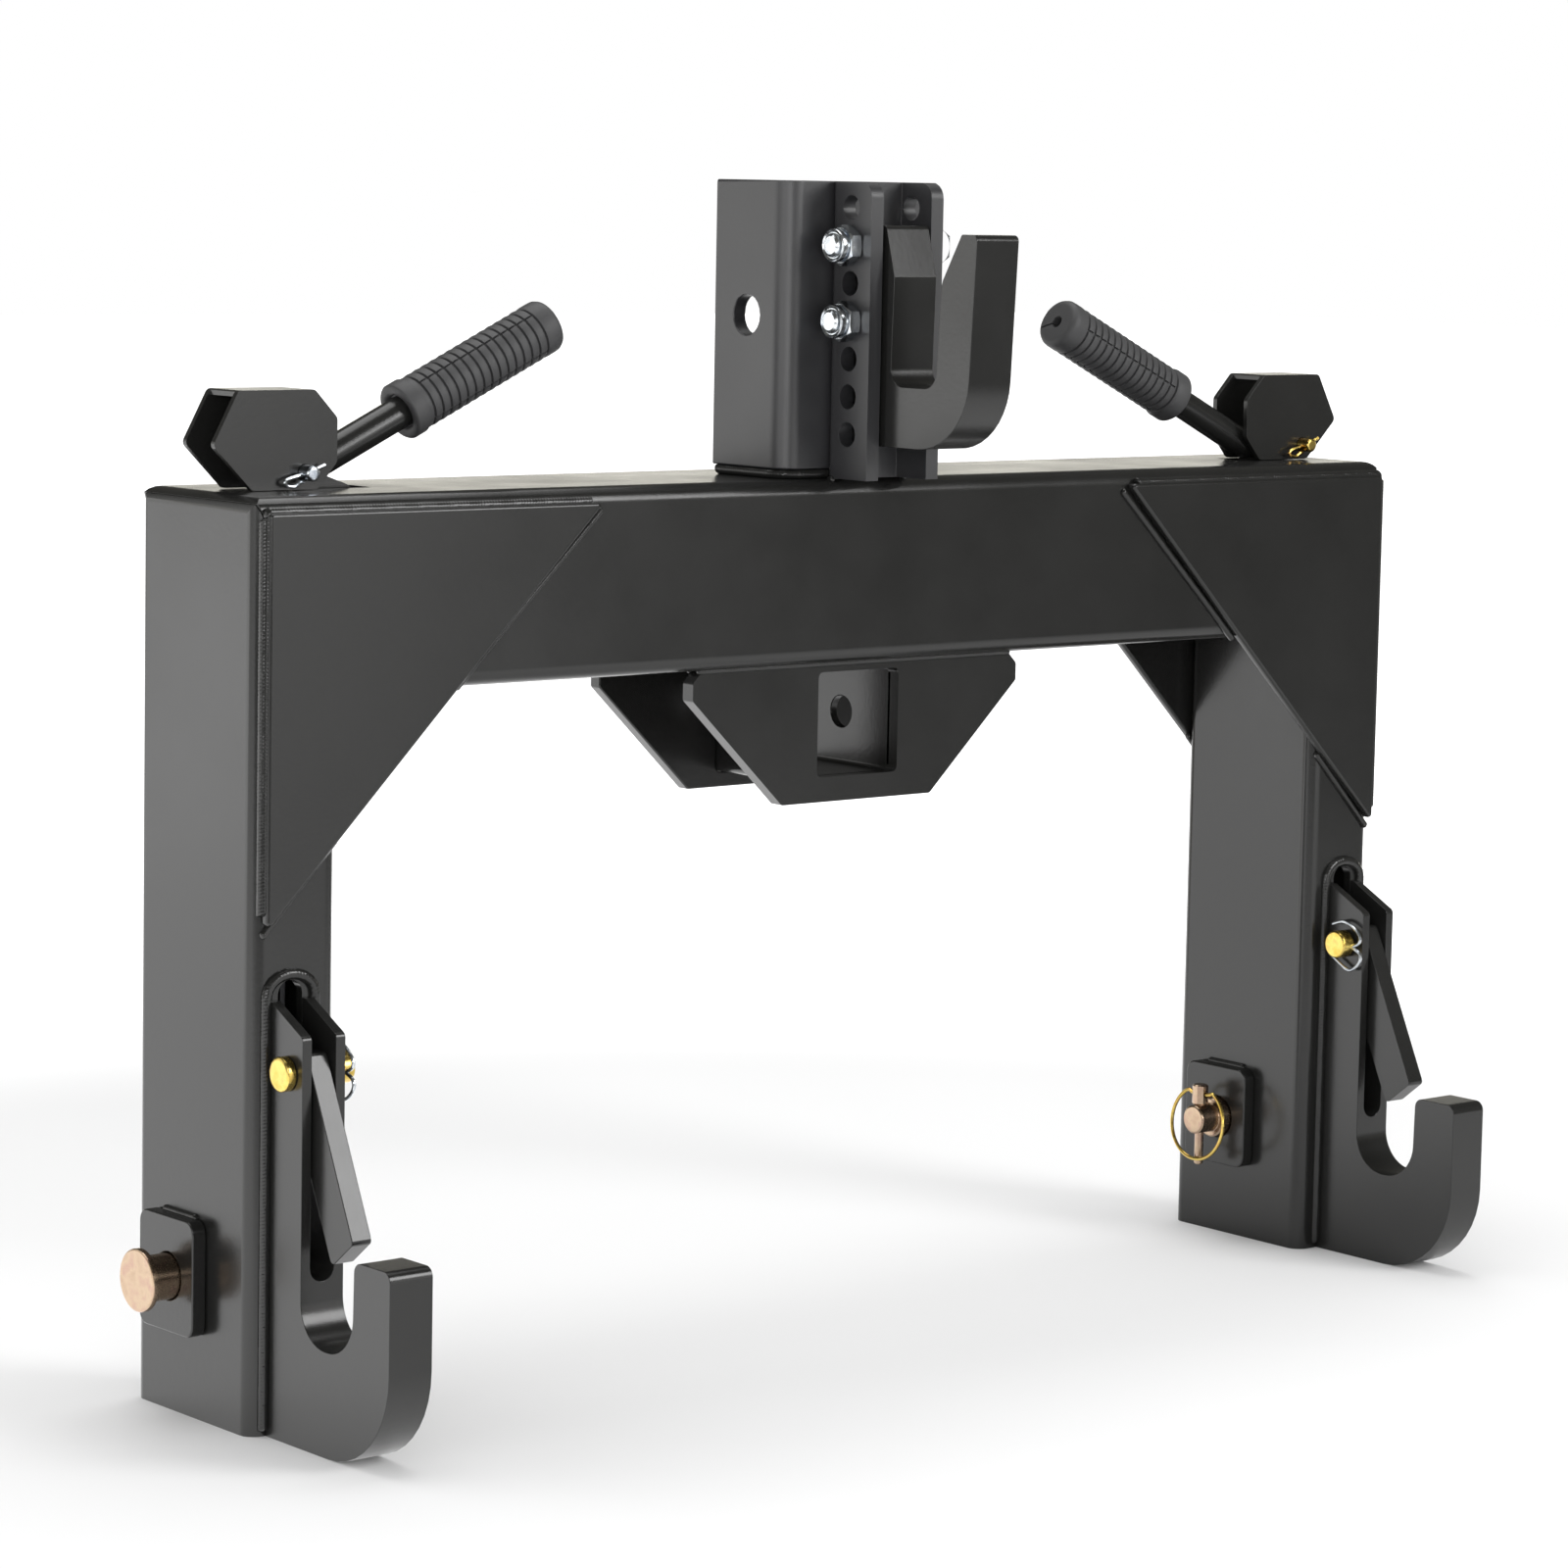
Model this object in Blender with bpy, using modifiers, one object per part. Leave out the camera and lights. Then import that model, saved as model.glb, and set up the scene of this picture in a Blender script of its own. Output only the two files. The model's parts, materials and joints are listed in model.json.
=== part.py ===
"""Three point quick hitch: an A-shaped carrier frame of rectangular tube with two lower hooks,
a bolted top hook, spring loaded latches worked by two hand levers, and a drawbar receiver.

X runs across the hitch, the hooks point to -Y, and Z = 0 is the ground under the legs.
All lengths are in metres.
"""

import bpy
import bmesh
from math import ceil, cos, pi, radians, sin, tan
from mathutils import Matrix, Vector

# Clearances and mesh limits
seat_gap = 0.0003
running_gap = 0.0005
weld_distance = 0.000001
cut_overrun = 0.006
quarter_steps = 5
round_steps = 20

# Frame of rectangular tube
frame_width = 0.750
frame_height = 0.442
frame_corner = 0.008
tube_depth = 0.100
leg_width = 0.048
beam_height = 0.094
tube_wall = 0.005
tube_corner = 0.008

# Corner gussets, front and rear
gusset_thickness = 0.006
gusset_side = 0.195
gusset_inset = 0.004
gusset_drop = 0.007
gusset_corner = 0.002

# Lower hooks, measured forward from the front face of the leg
hook_inset = 0.021
hook_thickness = 0.024
hook_reach = 0.100
hook_bend = 0.048
hook_shank = 0.0285
hook_throat = 0.042
throat_radius = 0.020
throat_floor = 0.050
hook_tip_height = 0.0965
hook_tip_lean = 0.001
hook_tip_corner = 0.005
cheek_height = 0.207
cheek_clip_rise = 0.0135
cheek_clip_run = 0.0262
cheek_corner = 0.003
latch_slot_width = 0.0135
latch_slot_rise = 0.028
leg_slot_over = 0.009

# Window in the back of each leg, where the lower link of the tractor goes in
leg_window_height = 0.150
leg_window_corner = 0.010

# Latches
latch_thickness = 0.011
latch_pivot_forward = 0.016
latch_pivot_drop = 0.0317
latch_lean = radians(24.9)
latch_width = 0.021
latch_nose = 0.0098
latch_crown = 0.0059
latch_foot_gap = 0.0517
latch_heel = 0.005
latch_corner = 0.0025
latch_tail_reach = 0.0374
latch_tail_drop = 0.008
latch_tail_thickness = 0.009
latch_root_radius = 0.0085
latch_eye_radius = 0.0078
latch_eye_bore = 0.0043
latch_pin_radius = 0.005
latch_pin_head_radius = 0.0083
latch_pin_head = 0.005
latch_pin_end = 0.009

# Retaining clips of round wire
clip_wire = 0.0009
clip_bore = 0.0013
clip_reach = 0.013
clip_tail = 0.011
clip_flare = 0.003
clip_stand_off = 0.0035
clip_bend_share = 0.45

# Lower link pins and their doubler plates
doubler_thickness = 0.008
doubler_front = 0.037
doubler_depth = 0.0465
doubler_foot = 0.041
doubler_height = 0.056
doubler_corner = 0.006
link_pin_radius = 0.0111
link_pin_back = 0.0585
link_pin_height = 0.068
link_pin_head_radius = 0.0152
link_pin_head = 0.0035
link_pin_stand = 0.014
link_pin_inner = 0.027
link_pin_neck_radius = 0.008
link_pin_neck = 0.013
pin_chamfer = 0.0008

# Linch pins through the link pins
linch_inset = 0.0055
linch_radius = 0.0025
linch_foot = 0.026
linch_head_radius = 0.0045
linch_head_height = 0.0115
linch_ring_radius = 0.020
linch_ring_wire = 0.0014
linch_ring_drop = 0.0165
linch_ring_lean = radians(6.0)

# Lever brackets on the beam
bracket_width = 0.027
bracket_plate = 0.003
bracket_height = 0.0475
bracket_length = 0.070
bracket_shoulder = 0.014
bracket_point = 0.022
bracket_foot_out = 0.022
bracket_foot_in = 0.011
bracket_side_low = 0.013
bracket_side_high = 0.034
bracket_clip_in = 0.013
bracket_bridge_in = 0.0125
bracket_corner = 0.003

# Levers. The two pivot pins sit at different places in their brackets.
lever_pivot_inset = {"left": 0.0514, "right": 0.026}
lever_radius = 0.008
lever_slope = radians(25.5)
lever_boss_width = 0.0136
lever_elbow_inset = 0.059
lever_elbow_bend = 0.016
lever_length = 0.152
lever_lug_reach = 0.028
lever_lug_drop = 0.014
lever_lug_thickness = 0.006
lever_lug_eye = 0.008
lever_lug_bore = 0.0055
lever_lug_play = 0.0016
lever_pin_radius = 0.0038
lever_pin_head_radius = 0.0065
lever_pin_head = 0.003
lever_pin_end = 0.008

# Rubber grips
grip_start = 0.062
grip_length = 0.098
grip_radius = 0.0137
grip_groove = 0.0013
grip_rib_pitch = 0.0062
grip_rib_land_share = 0.68
grip_collar = 0.009
grip_cap = 0.010
grip_end_round = 0.003
grip_keyhole_radius = 0.0022

# Pull rods, springs and guides inside the legs
rod_radius = 0.003
rod_side_gap = 0.001
rod_bend = 0.0048
rod_hook_over = 0.003
rod_jog_top_drop = 0.011
rod_jog_foot_drop = 0.074
guide_thickness = 0.003
guide_height = 0.300
spring_length = 0.062
spring_turns = 8
spring_radius = 0.007
spring_wire = 0.001
collar_radius = 0.0085
collar_height = 0.005

# Beam slots for the lever lugs
lug_slot_near = 0.004
lug_slot_far = 0.043
lug_slot_front = 0.008
lug_slot_back = 0.012
lug_slot_corner = 0.003

# Mast of two channels, measured forward from the front face of the beam
mast_height = 0.150
front_channel_width = 0.048
front_channel_wall = 0.008
front_channel_edge = 0.022
front_channel_depth = 0.031
front_channel_corner = 0.004
front_channel_top_corner = 0.008
rear_channel_width = 0.106
rear_channel_wall = 0.008
rear_channel_depth = 0.056
rear_channel_corner = 0.011
rear_channel_lift = 0.005
top_link_bore = 0.0103
top_link_back = 0.0305
top_link_height = 0.082
mast_hole_radius = 0.0063
mast_hole_clear = 0.020
mast_hole_pitch = 0.019
mast_hole_top = 0.013
mast_hole_back = 0.0155
bolt_holes_used = (1, 3)

# Top hook
top_hook_thickness = 0.028
top_hook_reach = 0.090
top_hook_foot = 0.0175
top_hook_tip_height = 0.125
top_hook_tip_thickness = 0.0115
top_hook_tip_corner = 0.003
top_hook_front_lean = 0.0055
top_hook_bend = 0.037
top_hook_floor = 0.048
top_hook_floor_corner = 0.009
top_hook_throat_inner = 0.0275
top_hook_throat_outer = 0.0615
top_hook_knee_height = 0.101
top_hook_knee_lean = 0.003
top_hook_top_height = 0.1285
top_hook_top_forward = 0.022
top_hook_shank_height = 0.103

# Bolts of the top hook
bolt_radius = 0.006
hex_flats = 0.018
bolt_head = 0.0075
bolt_end = 0.0015
nut_height = 0.0085
nut_collar_height = 0.0035
nut_collar_radius = 0.0077
washer_radius = 0.012
washer_thickness = 0.0025

# Drawbar receiver under the beam, set back from the front face
receiver_inset = 0.008
receiver_size = 0.063
receiver_wall = 0.0045
receiver_corner = 0.004
receiver_length = 0.084
receiver_plate = 0.008
receiver_top_half = 0.109
receiver_bottom_half = 0.050
receiver_plate_height = 0.0715
receiver_side = 0.015
receiver_top_chamfer = 0.006
receiver_corner_round = 0.002
receiver_pin_radius = 0.0085
receiver_pin_back = 0.045

# Places worked out from the sizes above
total_depth = hook_reach + tube_depth + gusset_thickness
front_face = hook_reach - total_depth / 2
rear_face = front_face + tube_depth
tube_middle = (front_face + rear_face) / 2
half_width = frame_width / 2
leg_inner = half_width - leg_width
hook_centre = half_width - hook_inset
beam_bottom = frame_height - beam_height
latch_pivot_height = cheek_height - latch_pivot_drop
mast_hole_count = int((mast_height - mast_hole_top - mast_hole_clear) / mast_hole_pitch) + 1
latch_slot_floor = throat_floor + latch_slot_rise
sides = {"left": -1, "right": 1}

paints = {
    "satin_black_paint": ((0.035, 0.035, 0.034), 0.0, 0.45),
    "black_rubber": ((0.020, 0.020, 0.020), 0.0, 0.75),
    "bronze_zinc": ((0.56, 0.38, 0.24), 1.0, 0.30),
    "yellow_zinc": ((0.62, 0.46, 0.16), 1.0, 0.30),
    "bright_zinc": ((0.62, 0.64, 0.66), 1.0, 0.28),
    "spring_steel": ((0.20, 0.20, 0.21), 1.0, 0.40),
}


def clear_scene():
    for obj in list(bpy.data.objects):
        bpy.data.objects.remove(obj, do_unlink=True)


def make_collection(name):
    collection = bpy.data.collections.new(name)
    bpy.context.scene.collection.children.link(collection)
    return collection


def make_material(paint, name):
    colour, metallic, roughness = paints[paint]
    material = bpy.data.materials.new(name + "_" + paint)
    material.use_nodes = True
    shader = material.node_tree.nodes["Principled BSDF"]
    shader.inputs["Base Color"].default_value = (*colour, 1.0)
    shader.inputs["Metallic"].default_value = metallic
    shader.inputs["Roughness"].default_value = roughness
    return material


clear_scene()
part_collection = make_collection("quick_hitch")
cutter_collection = make_collection("cutters")
cutter_collection.hide_render = True


def tidy_mesh(mesh):
    """Closes the seams between caps and sides, and turns the faces outward."""
    work = bmesh.new()
    work.from_mesh(mesh)
    bmesh.ops.remove_doubles(work, verts=work.verts, dist=weld_distance)
    bmesh.ops.recalc_face_normals(work, faces=work.faces)
    work.to_mesh(mesh)
    work.free()
    mesh.shade_smooth()
    mesh.set_sharp_from_angle(angle=radians(35))
    return mesh


def mesh_of(data, matrix=None, modify=None):
    """Evaluates a curve or a mesh with its modifiers, and returns the closed mesh."""
    helper = bpy.data.objects.new("helper", data)
    cutter_collection.objects.link(helper)
    if modify:
        modify(helper)
    graph = bpy.context.evaluated_depsgraph_get()
    mesh = bpy.data.meshes.new_from_object(helper.evaluated_get(graph))
    bpy.data.objects.remove(helper)
    if matrix:
        mesh.transform(matrix)
    return tidy_mesh(mesh)


def fillet(before, corner, after, radius, quarter=quarter_steps):
    """Points of the arc that rounds a corner between two straight runs, in two or three dimensions."""
    to_before = (before - corner).normalized()
    to_after = (after - corner).normalized()
    half = to_before.angle(to_after) / 2
    turn = pi - 2 * half
    if radius == 0 or turn == 0:
        return [corner]
    centre = corner + (to_before + to_after).normalized() * radius / sin(half)
    first = corner + to_before * radius / tan(half) - centre
    last = corner + to_after * radius / tan(half) - centre
    steps = max(2, ceil(quarter * turn / (pi / 2)))
    points = []
    for step in range(steps + 1):
        share = step / steps
        points.append(centre + (first * sin((1 - share) * turn) + last * sin(share * turn)) / sin(turn))
    return points


def outline(corners, quarter=quarter_steps):
    """A closed outline from (a, b) or (a, b, radius) corners."""
    spots = [Vector((corner[0], corner[1], 0)) for corner in corners]
    radii = [corner[2] if len(corner) > 2 else 0 for corner in corners]
    points = []
    for index, spot in enumerate(spots):
        following = spots[(index + 1) % len(spots)]
        points += fillet(spots[index - 1], spot, following, radii[index], quarter)
    return points


def box_outline(low_a, high_a, low_b, high_b, radius=0):
    return outline(
        [(low_a, low_b, radius), (high_a, low_b, radius), (high_a, high_b, radius), (low_a, high_b, radius)]
    )


def circle(a, b, radius, steps=round_steps, turn=0.0):
    angles = [turn + 2 * pi * step / steps for step in range(steps)]
    return [Vector((a + radius * cos(angle), b + radius * sin(angle), 0)) for angle in angles]


def link_outline(first, first_radius, last, last_radius):
    """The outline of a band drawn round two circles."""
    start = Vector((*first, 0))
    end = Vector((*last, 0))
    along = (end - start).normalized()
    heading = Vector((1, 0, 0)).angle(along) * (1 if along.y >= 0 else -1)
    lead = pi / 2 + (last_radius - first_radius) / (end - start).length
    points = []
    for centre, radius, middle, spread in (
        (start, first_radius, heading + pi, pi - lead),
        (end, last_radius, heading, lead),
    ):
        steps = 2 * quarter_steps
        for step in range(steps + 1):
            angle = middle - spread + 2 * spread * step / steps
            points.append(centre + Vector((cos(angle), sin(angle), 0)) * radius)
    return points


def axis_matrix(axis):
    """Sends an outline's two directions to YZ, XZ or XY."""
    if axis == "X":
        return Matrix(((0, 0, 1, 0), (1, 0, 0, 0), (0, 1, 0, 0), (0, 0, 0, 1)))
    if axis == "Y":
        return Matrix(((1, 0, 0, 0), (0, 0, -1, 0), (0, 1, 0, 0), (0, 0, 0, 1)))
    return Matrix.Identity(4)


def prism(loops, axis, low, high):
    """A flat outline, with its holes, made thick from low to high along an axis."""
    curve = bpy.data.curves.new("outline", "CURVE")
    curve.dimensions = "2D"
    curve.fill_mode = "BOTH"
    curve.extrude = abs(high - low) / 2
    for loop in loops:
        spline = curve.splines.new("POLY")
        spline.points.add(len(loop) - 1)
        for point, spot in zip(spline.points, loop):
            point.co = (spot.x, spot.y, 0, 1)
        spline.use_cyclic_u = True
    shift = Vector((0, 0, 0))
    shift["XYZ".index(axis)] = (low + high) / 2
    return mesh_of(curve, Matrix.Translation(shift) @ axis_matrix(axis))


def wire(points, radius, resolution=2, cyclic=False):
    """Round bar along a line of points."""
    curve = bpy.data.curves.new("wire", "CURVE")
    curve.dimensions = "3D"
    curve.bevel_depth = radius
    curve.bevel_resolution = resolution
    curve.use_fill_caps = True
    spline = curve.splines.new("POLY")
    spline.points.add(len(points) - 1)
    for point, spot in zip(spline.points, points):
        point.co = (*spot, 1)
    spline.use_cyclic_u = cyclic
    return mesh_of(curve)


def bent_path(corners, radius, quarter=quarter_steps):
    """An open path whose corners are bent to one radius."""
    spots = [Vector(corner) for corner in corners]
    points = [spots[0]]
    for before, corner, after in zip(spots, spots[1:], spots[2:]):
        points += fillet(before, corner, after, radius, quarter)
    return points + [spots[-1]]


def turned(profile, axis, steps=round_steps):
    """A turned shape from (radius, height) points, running down its outer side."""
    mesh = bpy.data.meshes.new("profile")
    vertices = [(radius, 0, height) for radius, height in profile]
    edges = [(index, index + 1) for index in range(len(profile) - 1)]
    if profile[0][0] > 0:
        edges.append((len(profile) - 1, 0))
    mesh.from_pydata(vertices, edges, [])

    def add_screw(helper):
        screw = helper.modifiers.new("turn", "SCREW")
        screw.steps = steps
        screw.render_steps = steps
        screw.use_merge_vertices = True
        screw.merge_threshold = weld_distance

    return mesh_of(mesh, axis, add_screw)


def along_x(side, x, y, z):
    """Turns a turned shape's height toward the outer side of the hitch."""
    return Matrix.Translation((x, y, z)) @ Matrix.Rotation(side * pi / 2, 4, "Y")


def add_part(name, mesh, paint, origin=(0, 0, 0)):
    """One piece of the hitch, with its origin where it turns or slides."""
    mesh.transform(Matrix.Translation(-Vector(origin)))
    mesh.name = name
    piece = bpy.data.objects.new(name, mesh)
    piece.location = origin
    piece.data.materials.append(make_material(paint, name))
    part_collection.objects.link(piece)
    return piece


def combine(piece, mesh, operation):
    cutter = bpy.data.objects.new(piece.name + "_" + operation.lower(), mesh)
    cutter.hide_render = True
    cutter.display_type = "WIRE"
    cutter_collection.objects.link(cutter)
    boolean = piece.modifiers.new(operation.lower(), "BOOLEAN")
    boolean.operation = operation
    boolean.object = cutter


def cut(piece, mesh):
    combine(piece, mesh, "DIFFERENCE")


def join(piece, mesh):
    combine(piece, mesh, "UNION")


def drill(piece, axis, a, b, radius, low, high, steps=round_steps):
    """A round hole; a and b follow the axis as in an outline."""
    cut(piece, prism([circle(a, b, radius, steps)], axis, low - cut_overrun, high + cut_overrun))


def forward(distance):
    """The Y place of something a distance in front of the frame's front face."""
    return front_face - distance


def span(side, inner, outer):
    """Low and high X of something between two distances from the middle."""
    return sorted((side * inner, side * outer))


def mitre_cutter(side, keep_leg):
    """The half of the corner on one side of the mitre between leg and beam."""
    inner = Vector((leg_inner, beam_bottom, 0))
    outer = Vector((half_width, frame_height, 0))
    along = (outer - inner).normalized()
    toward_beam = Vector((-along.y, along.x, 0))
    away = toward_beam if keep_leg else -toward_beam
    reach = beam_height + leg_width
    near = -away * seat_gap / 2
    corners = [
        inner + near - along * reach,
        outer + near + along * reach,
        outer + away * reach + along * reach,
        inner + away * reach - along * reach,
    ]
    loop = [Vector((side * corner.x, corner.y, 0)) for corner in corners]
    return prism([loop], "Y", front_face - cut_overrun, rear_face + cut_overrun)


def corner_cutter(side):
    """What lies outside the rounded top corner of the frame."""
    reach = frame_corner + cut_overrun
    corners = [
        (half_width - reach, frame_height),
        (half_width, frame_height, frame_corner),
        (half_width, frame_height - reach),
        (half_width + cut_overrun, frame_height - reach),
        (half_width + cut_overrun, frame_height + cut_overrun),
        (half_width - reach, frame_height + cut_overrun),
    ]
    loop = outline([(side * corner[0], *corner[1:]) for corner in corners])
    return prism([loop], "Y", front_face - cut_overrun, rear_face + cut_overrun)


def latch_slot_outline(side, floor, top):
    middle = side * hook_centre
    half = latch_slot_width / 2
    return box_outline(middle - half, middle + half, floor, top, half - weld_distance)


def build_leg(name, side):
    low, high = span(side, leg_inner, half_width)
    outer = box_outline(low, high, front_face, rear_face, tube_corner)
    inner = box_outline(
        low + tube_wall, high - tube_wall, front_face + tube_wall, rear_face - tube_wall, tube_corner - tube_wall
    )
    leg = add_part("leg_" + name, prism([outer, inner], "Z", 0, frame_height), "satin_black_paint")
    cut(leg, mitre_cutter(side, keep_leg=True))
    cut(leg, corner_cutter(side))
    slot = latch_slot_outline(side, latch_slot_floor, cheek_height + leg_slot_over)
    cut(leg, prism([slot], "Y", front_face - cut_overrun, front_face + tube_wall + cut_overrun))
    window = box_outline(
        low + tube_wall, high - tube_wall, -leg_window_height, leg_window_height, leg_window_corner
    )
    cut(leg, prism([window], "Y", rear_face - tube_wall - seat_gap, rear_face + cut_overrun))
    bore = link_pin_radius + running_gap
    drill(leg, "X", front_face + link_pin_back, link_pin_height, bore, low, high)


def build_beam():
    outer = box_outline(front_face, rear_face, beam_bottom, frame_height, tube_corner)
    inner = box_outline(
        front_face + tube_wall,
        rear_face - tube_wall,
        beam_bottom + tube_wall,
        frame_height - tube_wall,
        tube_corner - tube_wall,
    )
    beam = add_part("cross_beam", prism([outer, inner], "X", -half_width, half_width), "satin_black_paint")
    for name, side in sides.items():
        cut(beam, mitre_cutter(side, keep_leg=False))
        cut(beam, corner_cutter(side))
        pivot = half_width - lever_pivot_inset[name]
        low, high = span(side, pivot - lug_slot_far, pivot - lug_slot_near)
        slot = box_outline(
            low, high, tube_middle - lug_slot_front, tube_middle + lug_slot_back, lug_slot_corner
        )
        cut(beam, prism([slot], "Z", frame_height - tube_wall - cut_overrun, frame_height + cut_overrun))


def build_gusset(name, side, face, outward):
    corner_x = half_width - gusset_inset
    corner_z = frame_height - gusset_drop
    loop = outline(
        [
            (side * corner_x, corner_z, gusset_corner),
            (side * (corner_x - gusset_side), corner_z, gusset_corner),
            (side * corner_x, corner_z - gusset_side, gusset_corner),
        ]
    )
    low, high = sorted((face + outward * seat_gap, face + outward * gusset_thickness))
    add_part(name, prism([loop], "Y", low, high), "satin_black_paint")


def build_lower_hook(name, side):
    throat_end = hook_shank + hook_throat
    corners = [
        (seat_gap, 0),
        (hook_reach, 0, hook_bend),
        (hook_reach, hook_tip_height, hook_tip_corner),
        (throat_end + hook_tip_lean, hook_tip_height, hook_tip_corner),
        (throat_end, throat_floor, throat_radius),
        (hook_shank, throat_floor, throat_radius),
        (hook_shank, cheek_height - cheek_clip_rise, cheek_corner),
        (hook_shank - cheek_clip_run, cheek_height, cheek_corner),
        (seat_gap, cheek_height),
    ]
    loop = outline([(forward(corner[0]), *corner[1:]) for corner in corners], 2 * quarter_steps)
    low, high = span(side, hook_centre - hook_thickness / 2, hook_centre + hook_thickness / 2)
    hook = add_part("lower_hook_" + name, prism([loop], "X", low, high), "satin_black_paint")
    slot = latch_slot_outline(side, latch_slot_floor, cheek_height + latch_slot_width)
    cut(hook, prism([slot], "Y", forward(hook_shank + hook_throat / 2), front_face + cut_overrun))
    bore = latch_pin_radius + seat_gap
    drill(hook, "X", forward(latch_pivot_forward), latch_pivot_height, bore, low, high)


def build_latch(name, side):
    """The latch blade leans forward below its pivot; its tail reaches back into the leg."""
    down = Vector((-sin(latch_lean), -cos(latch_lean), 0))
    ahead = Vector((-cos(latch_lean), sin(latch_lean), 0))
    pivot = Vector((forward(latch_pivot_forward), latch_pivot_height, 0))
    back = latch_nose - latch_width
    nose_height = latch_pivot_height + latch_nose * sin(latch_lean)
    foot = (nose_height - throat_floor - latch_foot_gap) / cos(latch_lean)
    corners = [
        (-latch_crown, latch_nose),
        (foot, latch_nose),
        (foot + latch_heel, back),
        (-latch_crown - latch_width * tan(latch_lean), back),
    ]
    spots = [pivot + down * drop + ahead * reach for drop, reach in corners]
    loop = outline([(spot.x, spot.y, latch_corner) for spot in spots])
    half = latch_thickness / 2
    low, high = span(side, hook_centre - half, hook_centre + half)
    origin = (side * hook_centre, pivot.x, pivot.y)
    latch = add_part("latch_" + name, prism([loop], "X", low, high), "satin_black_paint", origin)
    tail_half = latch_tail_thickness / 2
    tail_low, tail_high = span(side, hook_centre - tail_half, hook_centre + tail_half)
    eye = (pivot.x + latch_tail_reach, pivot.y - latch_tail_drop)
    tail = link_outline((pivot.x, pivot.y), latch_root_radius, eye, latch_eye_radius)
    join(latch, prism([tail], "X", tail_low, tail_high))
    drill(latch, "X", pivot.x, pivot.y, latch_pin_radius + running_gap, low, high)
    drill(latch, "X", *eye, latch_eye_bore, low, high)


def clip_path(pin_radius):
    """A spring clip in its own plane: one leg through the pin's bore, one bowed round the pin."""
    beside = pin_radius + clip_wire + running_gap
    return bent_path(
        [
            (-clip_tail, 0, 0),
            (clip_reach, 0, 0),
            (clip_reach, beside, 0),
            (-pin_radius, beside, 0),
            (-clip_tail, beside + clip_flare, 0),
        ],
        beside * clip_bend_share,
        2,
    )


def build_latch_pin(name, side):
    y = forward(latch_pivot_forward)
    outer = hook_centre + hook_thickness / 2 + seat_gap
    inner = hook_centre - hook_thickness / 2 - latch_pin_end
    length = outer - inner
    profile = [
        (0, latch_pin_head),
        (latch_pin_head_radius - pin_chamfer, latch_pin_head),
        (latch_pin_head_radius, latch_pin_head - pin_chamfer),
        (latch_pin_head_radius, 0),
        (latch_pin_radius, 0),
        (latch_pin_radius, pin_chamfer - length),
        (latch_pin_radius - pin_chamfer, -length),
        (0, -length),
    ]
    pin = add_part(
        "latch_pin_" + name, turned(profile, along_x(side, side * outer, y, latch_pivot_height)), "yellow_zinc"
    )
    clip_x = side * (inner + latch_pin_end - clip_stand_off)
    drill(
        pin,
        "Z",
        clip_x,
        y,
        clip_bore,
        latch_pivot_height - latch_pin_radius,
        latch_pivot_height + latch_pin_radius,
        quarter_steps * 2,
    )
    points = [
        Vector((clip_x, y + spot.y, latch_pivot_height + spot.x)) for spot in clip_path(latch_pin_radius)
    ]
    add_part("latch_clip_" + name, wire(points, clip_wire, 1), "yellow_zinc")


def build_doubler(name, side, inner, outer):
    front = front_face + doubler_front
    loop = box_outline(front, front + doubler_depth, doubler_foot, doubler_foot + doubler_height, doubler_corner)
    bore = circle(front_face + link_pin_back, link_pin_height, link_pin_radius + running_gap)
    low, high = span(side, inner, outer)
    add_part(name, prism([loop, bore], "X", low, high), "satin_black_paint")


def build_link_pin(name, side):
    y = front_face + link_pin_back
    head_face = half_width + doubler_thickness + link_pin_stand + link_pin_head
    length = head_face - (leg_inner - link_pin_inner)
    neck_at = length - link_pin_neck
    profile = [
        (0, 0),
        (link_pin_head_radius - pin_chamfer, 0),
        (link_pin_head_radius, -pin_chamfer),
        (link_pin_head_radius, -link_pin_head),
        (link_pin_radius, -link_pin_head),
        (link_pin_radius, pin_chamfer - neck_at),
        (link_pin_radius - pin_chamfer, -neck_at),
        (link_pin_neck_radius, -neck_at),
        (link_pin_neck_radius, pin_chamfer - length),
        (link_pin_neck_radius - pin_chamfer, -length),
        (0, -length),
    ]
    pin = add_part(
        "link_pin_" + name, turned(profile, along_x(side, side * head_face, y, link_pin_height)), "bronze_zinc"
    )
    linch_x = side * (head_face - length + linch_inset)
    neck_low = link_pin_height - link_pin_neck_radius
    neck_high = link_pin_height + link_pin_neck_radius
    drill(pin, "Z", linch_x, y, linch_radius + seat_gap, neck_low, neck_high, quarter_steps * 2)
    build_linch_pin(name, side, linch_x, y)


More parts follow.
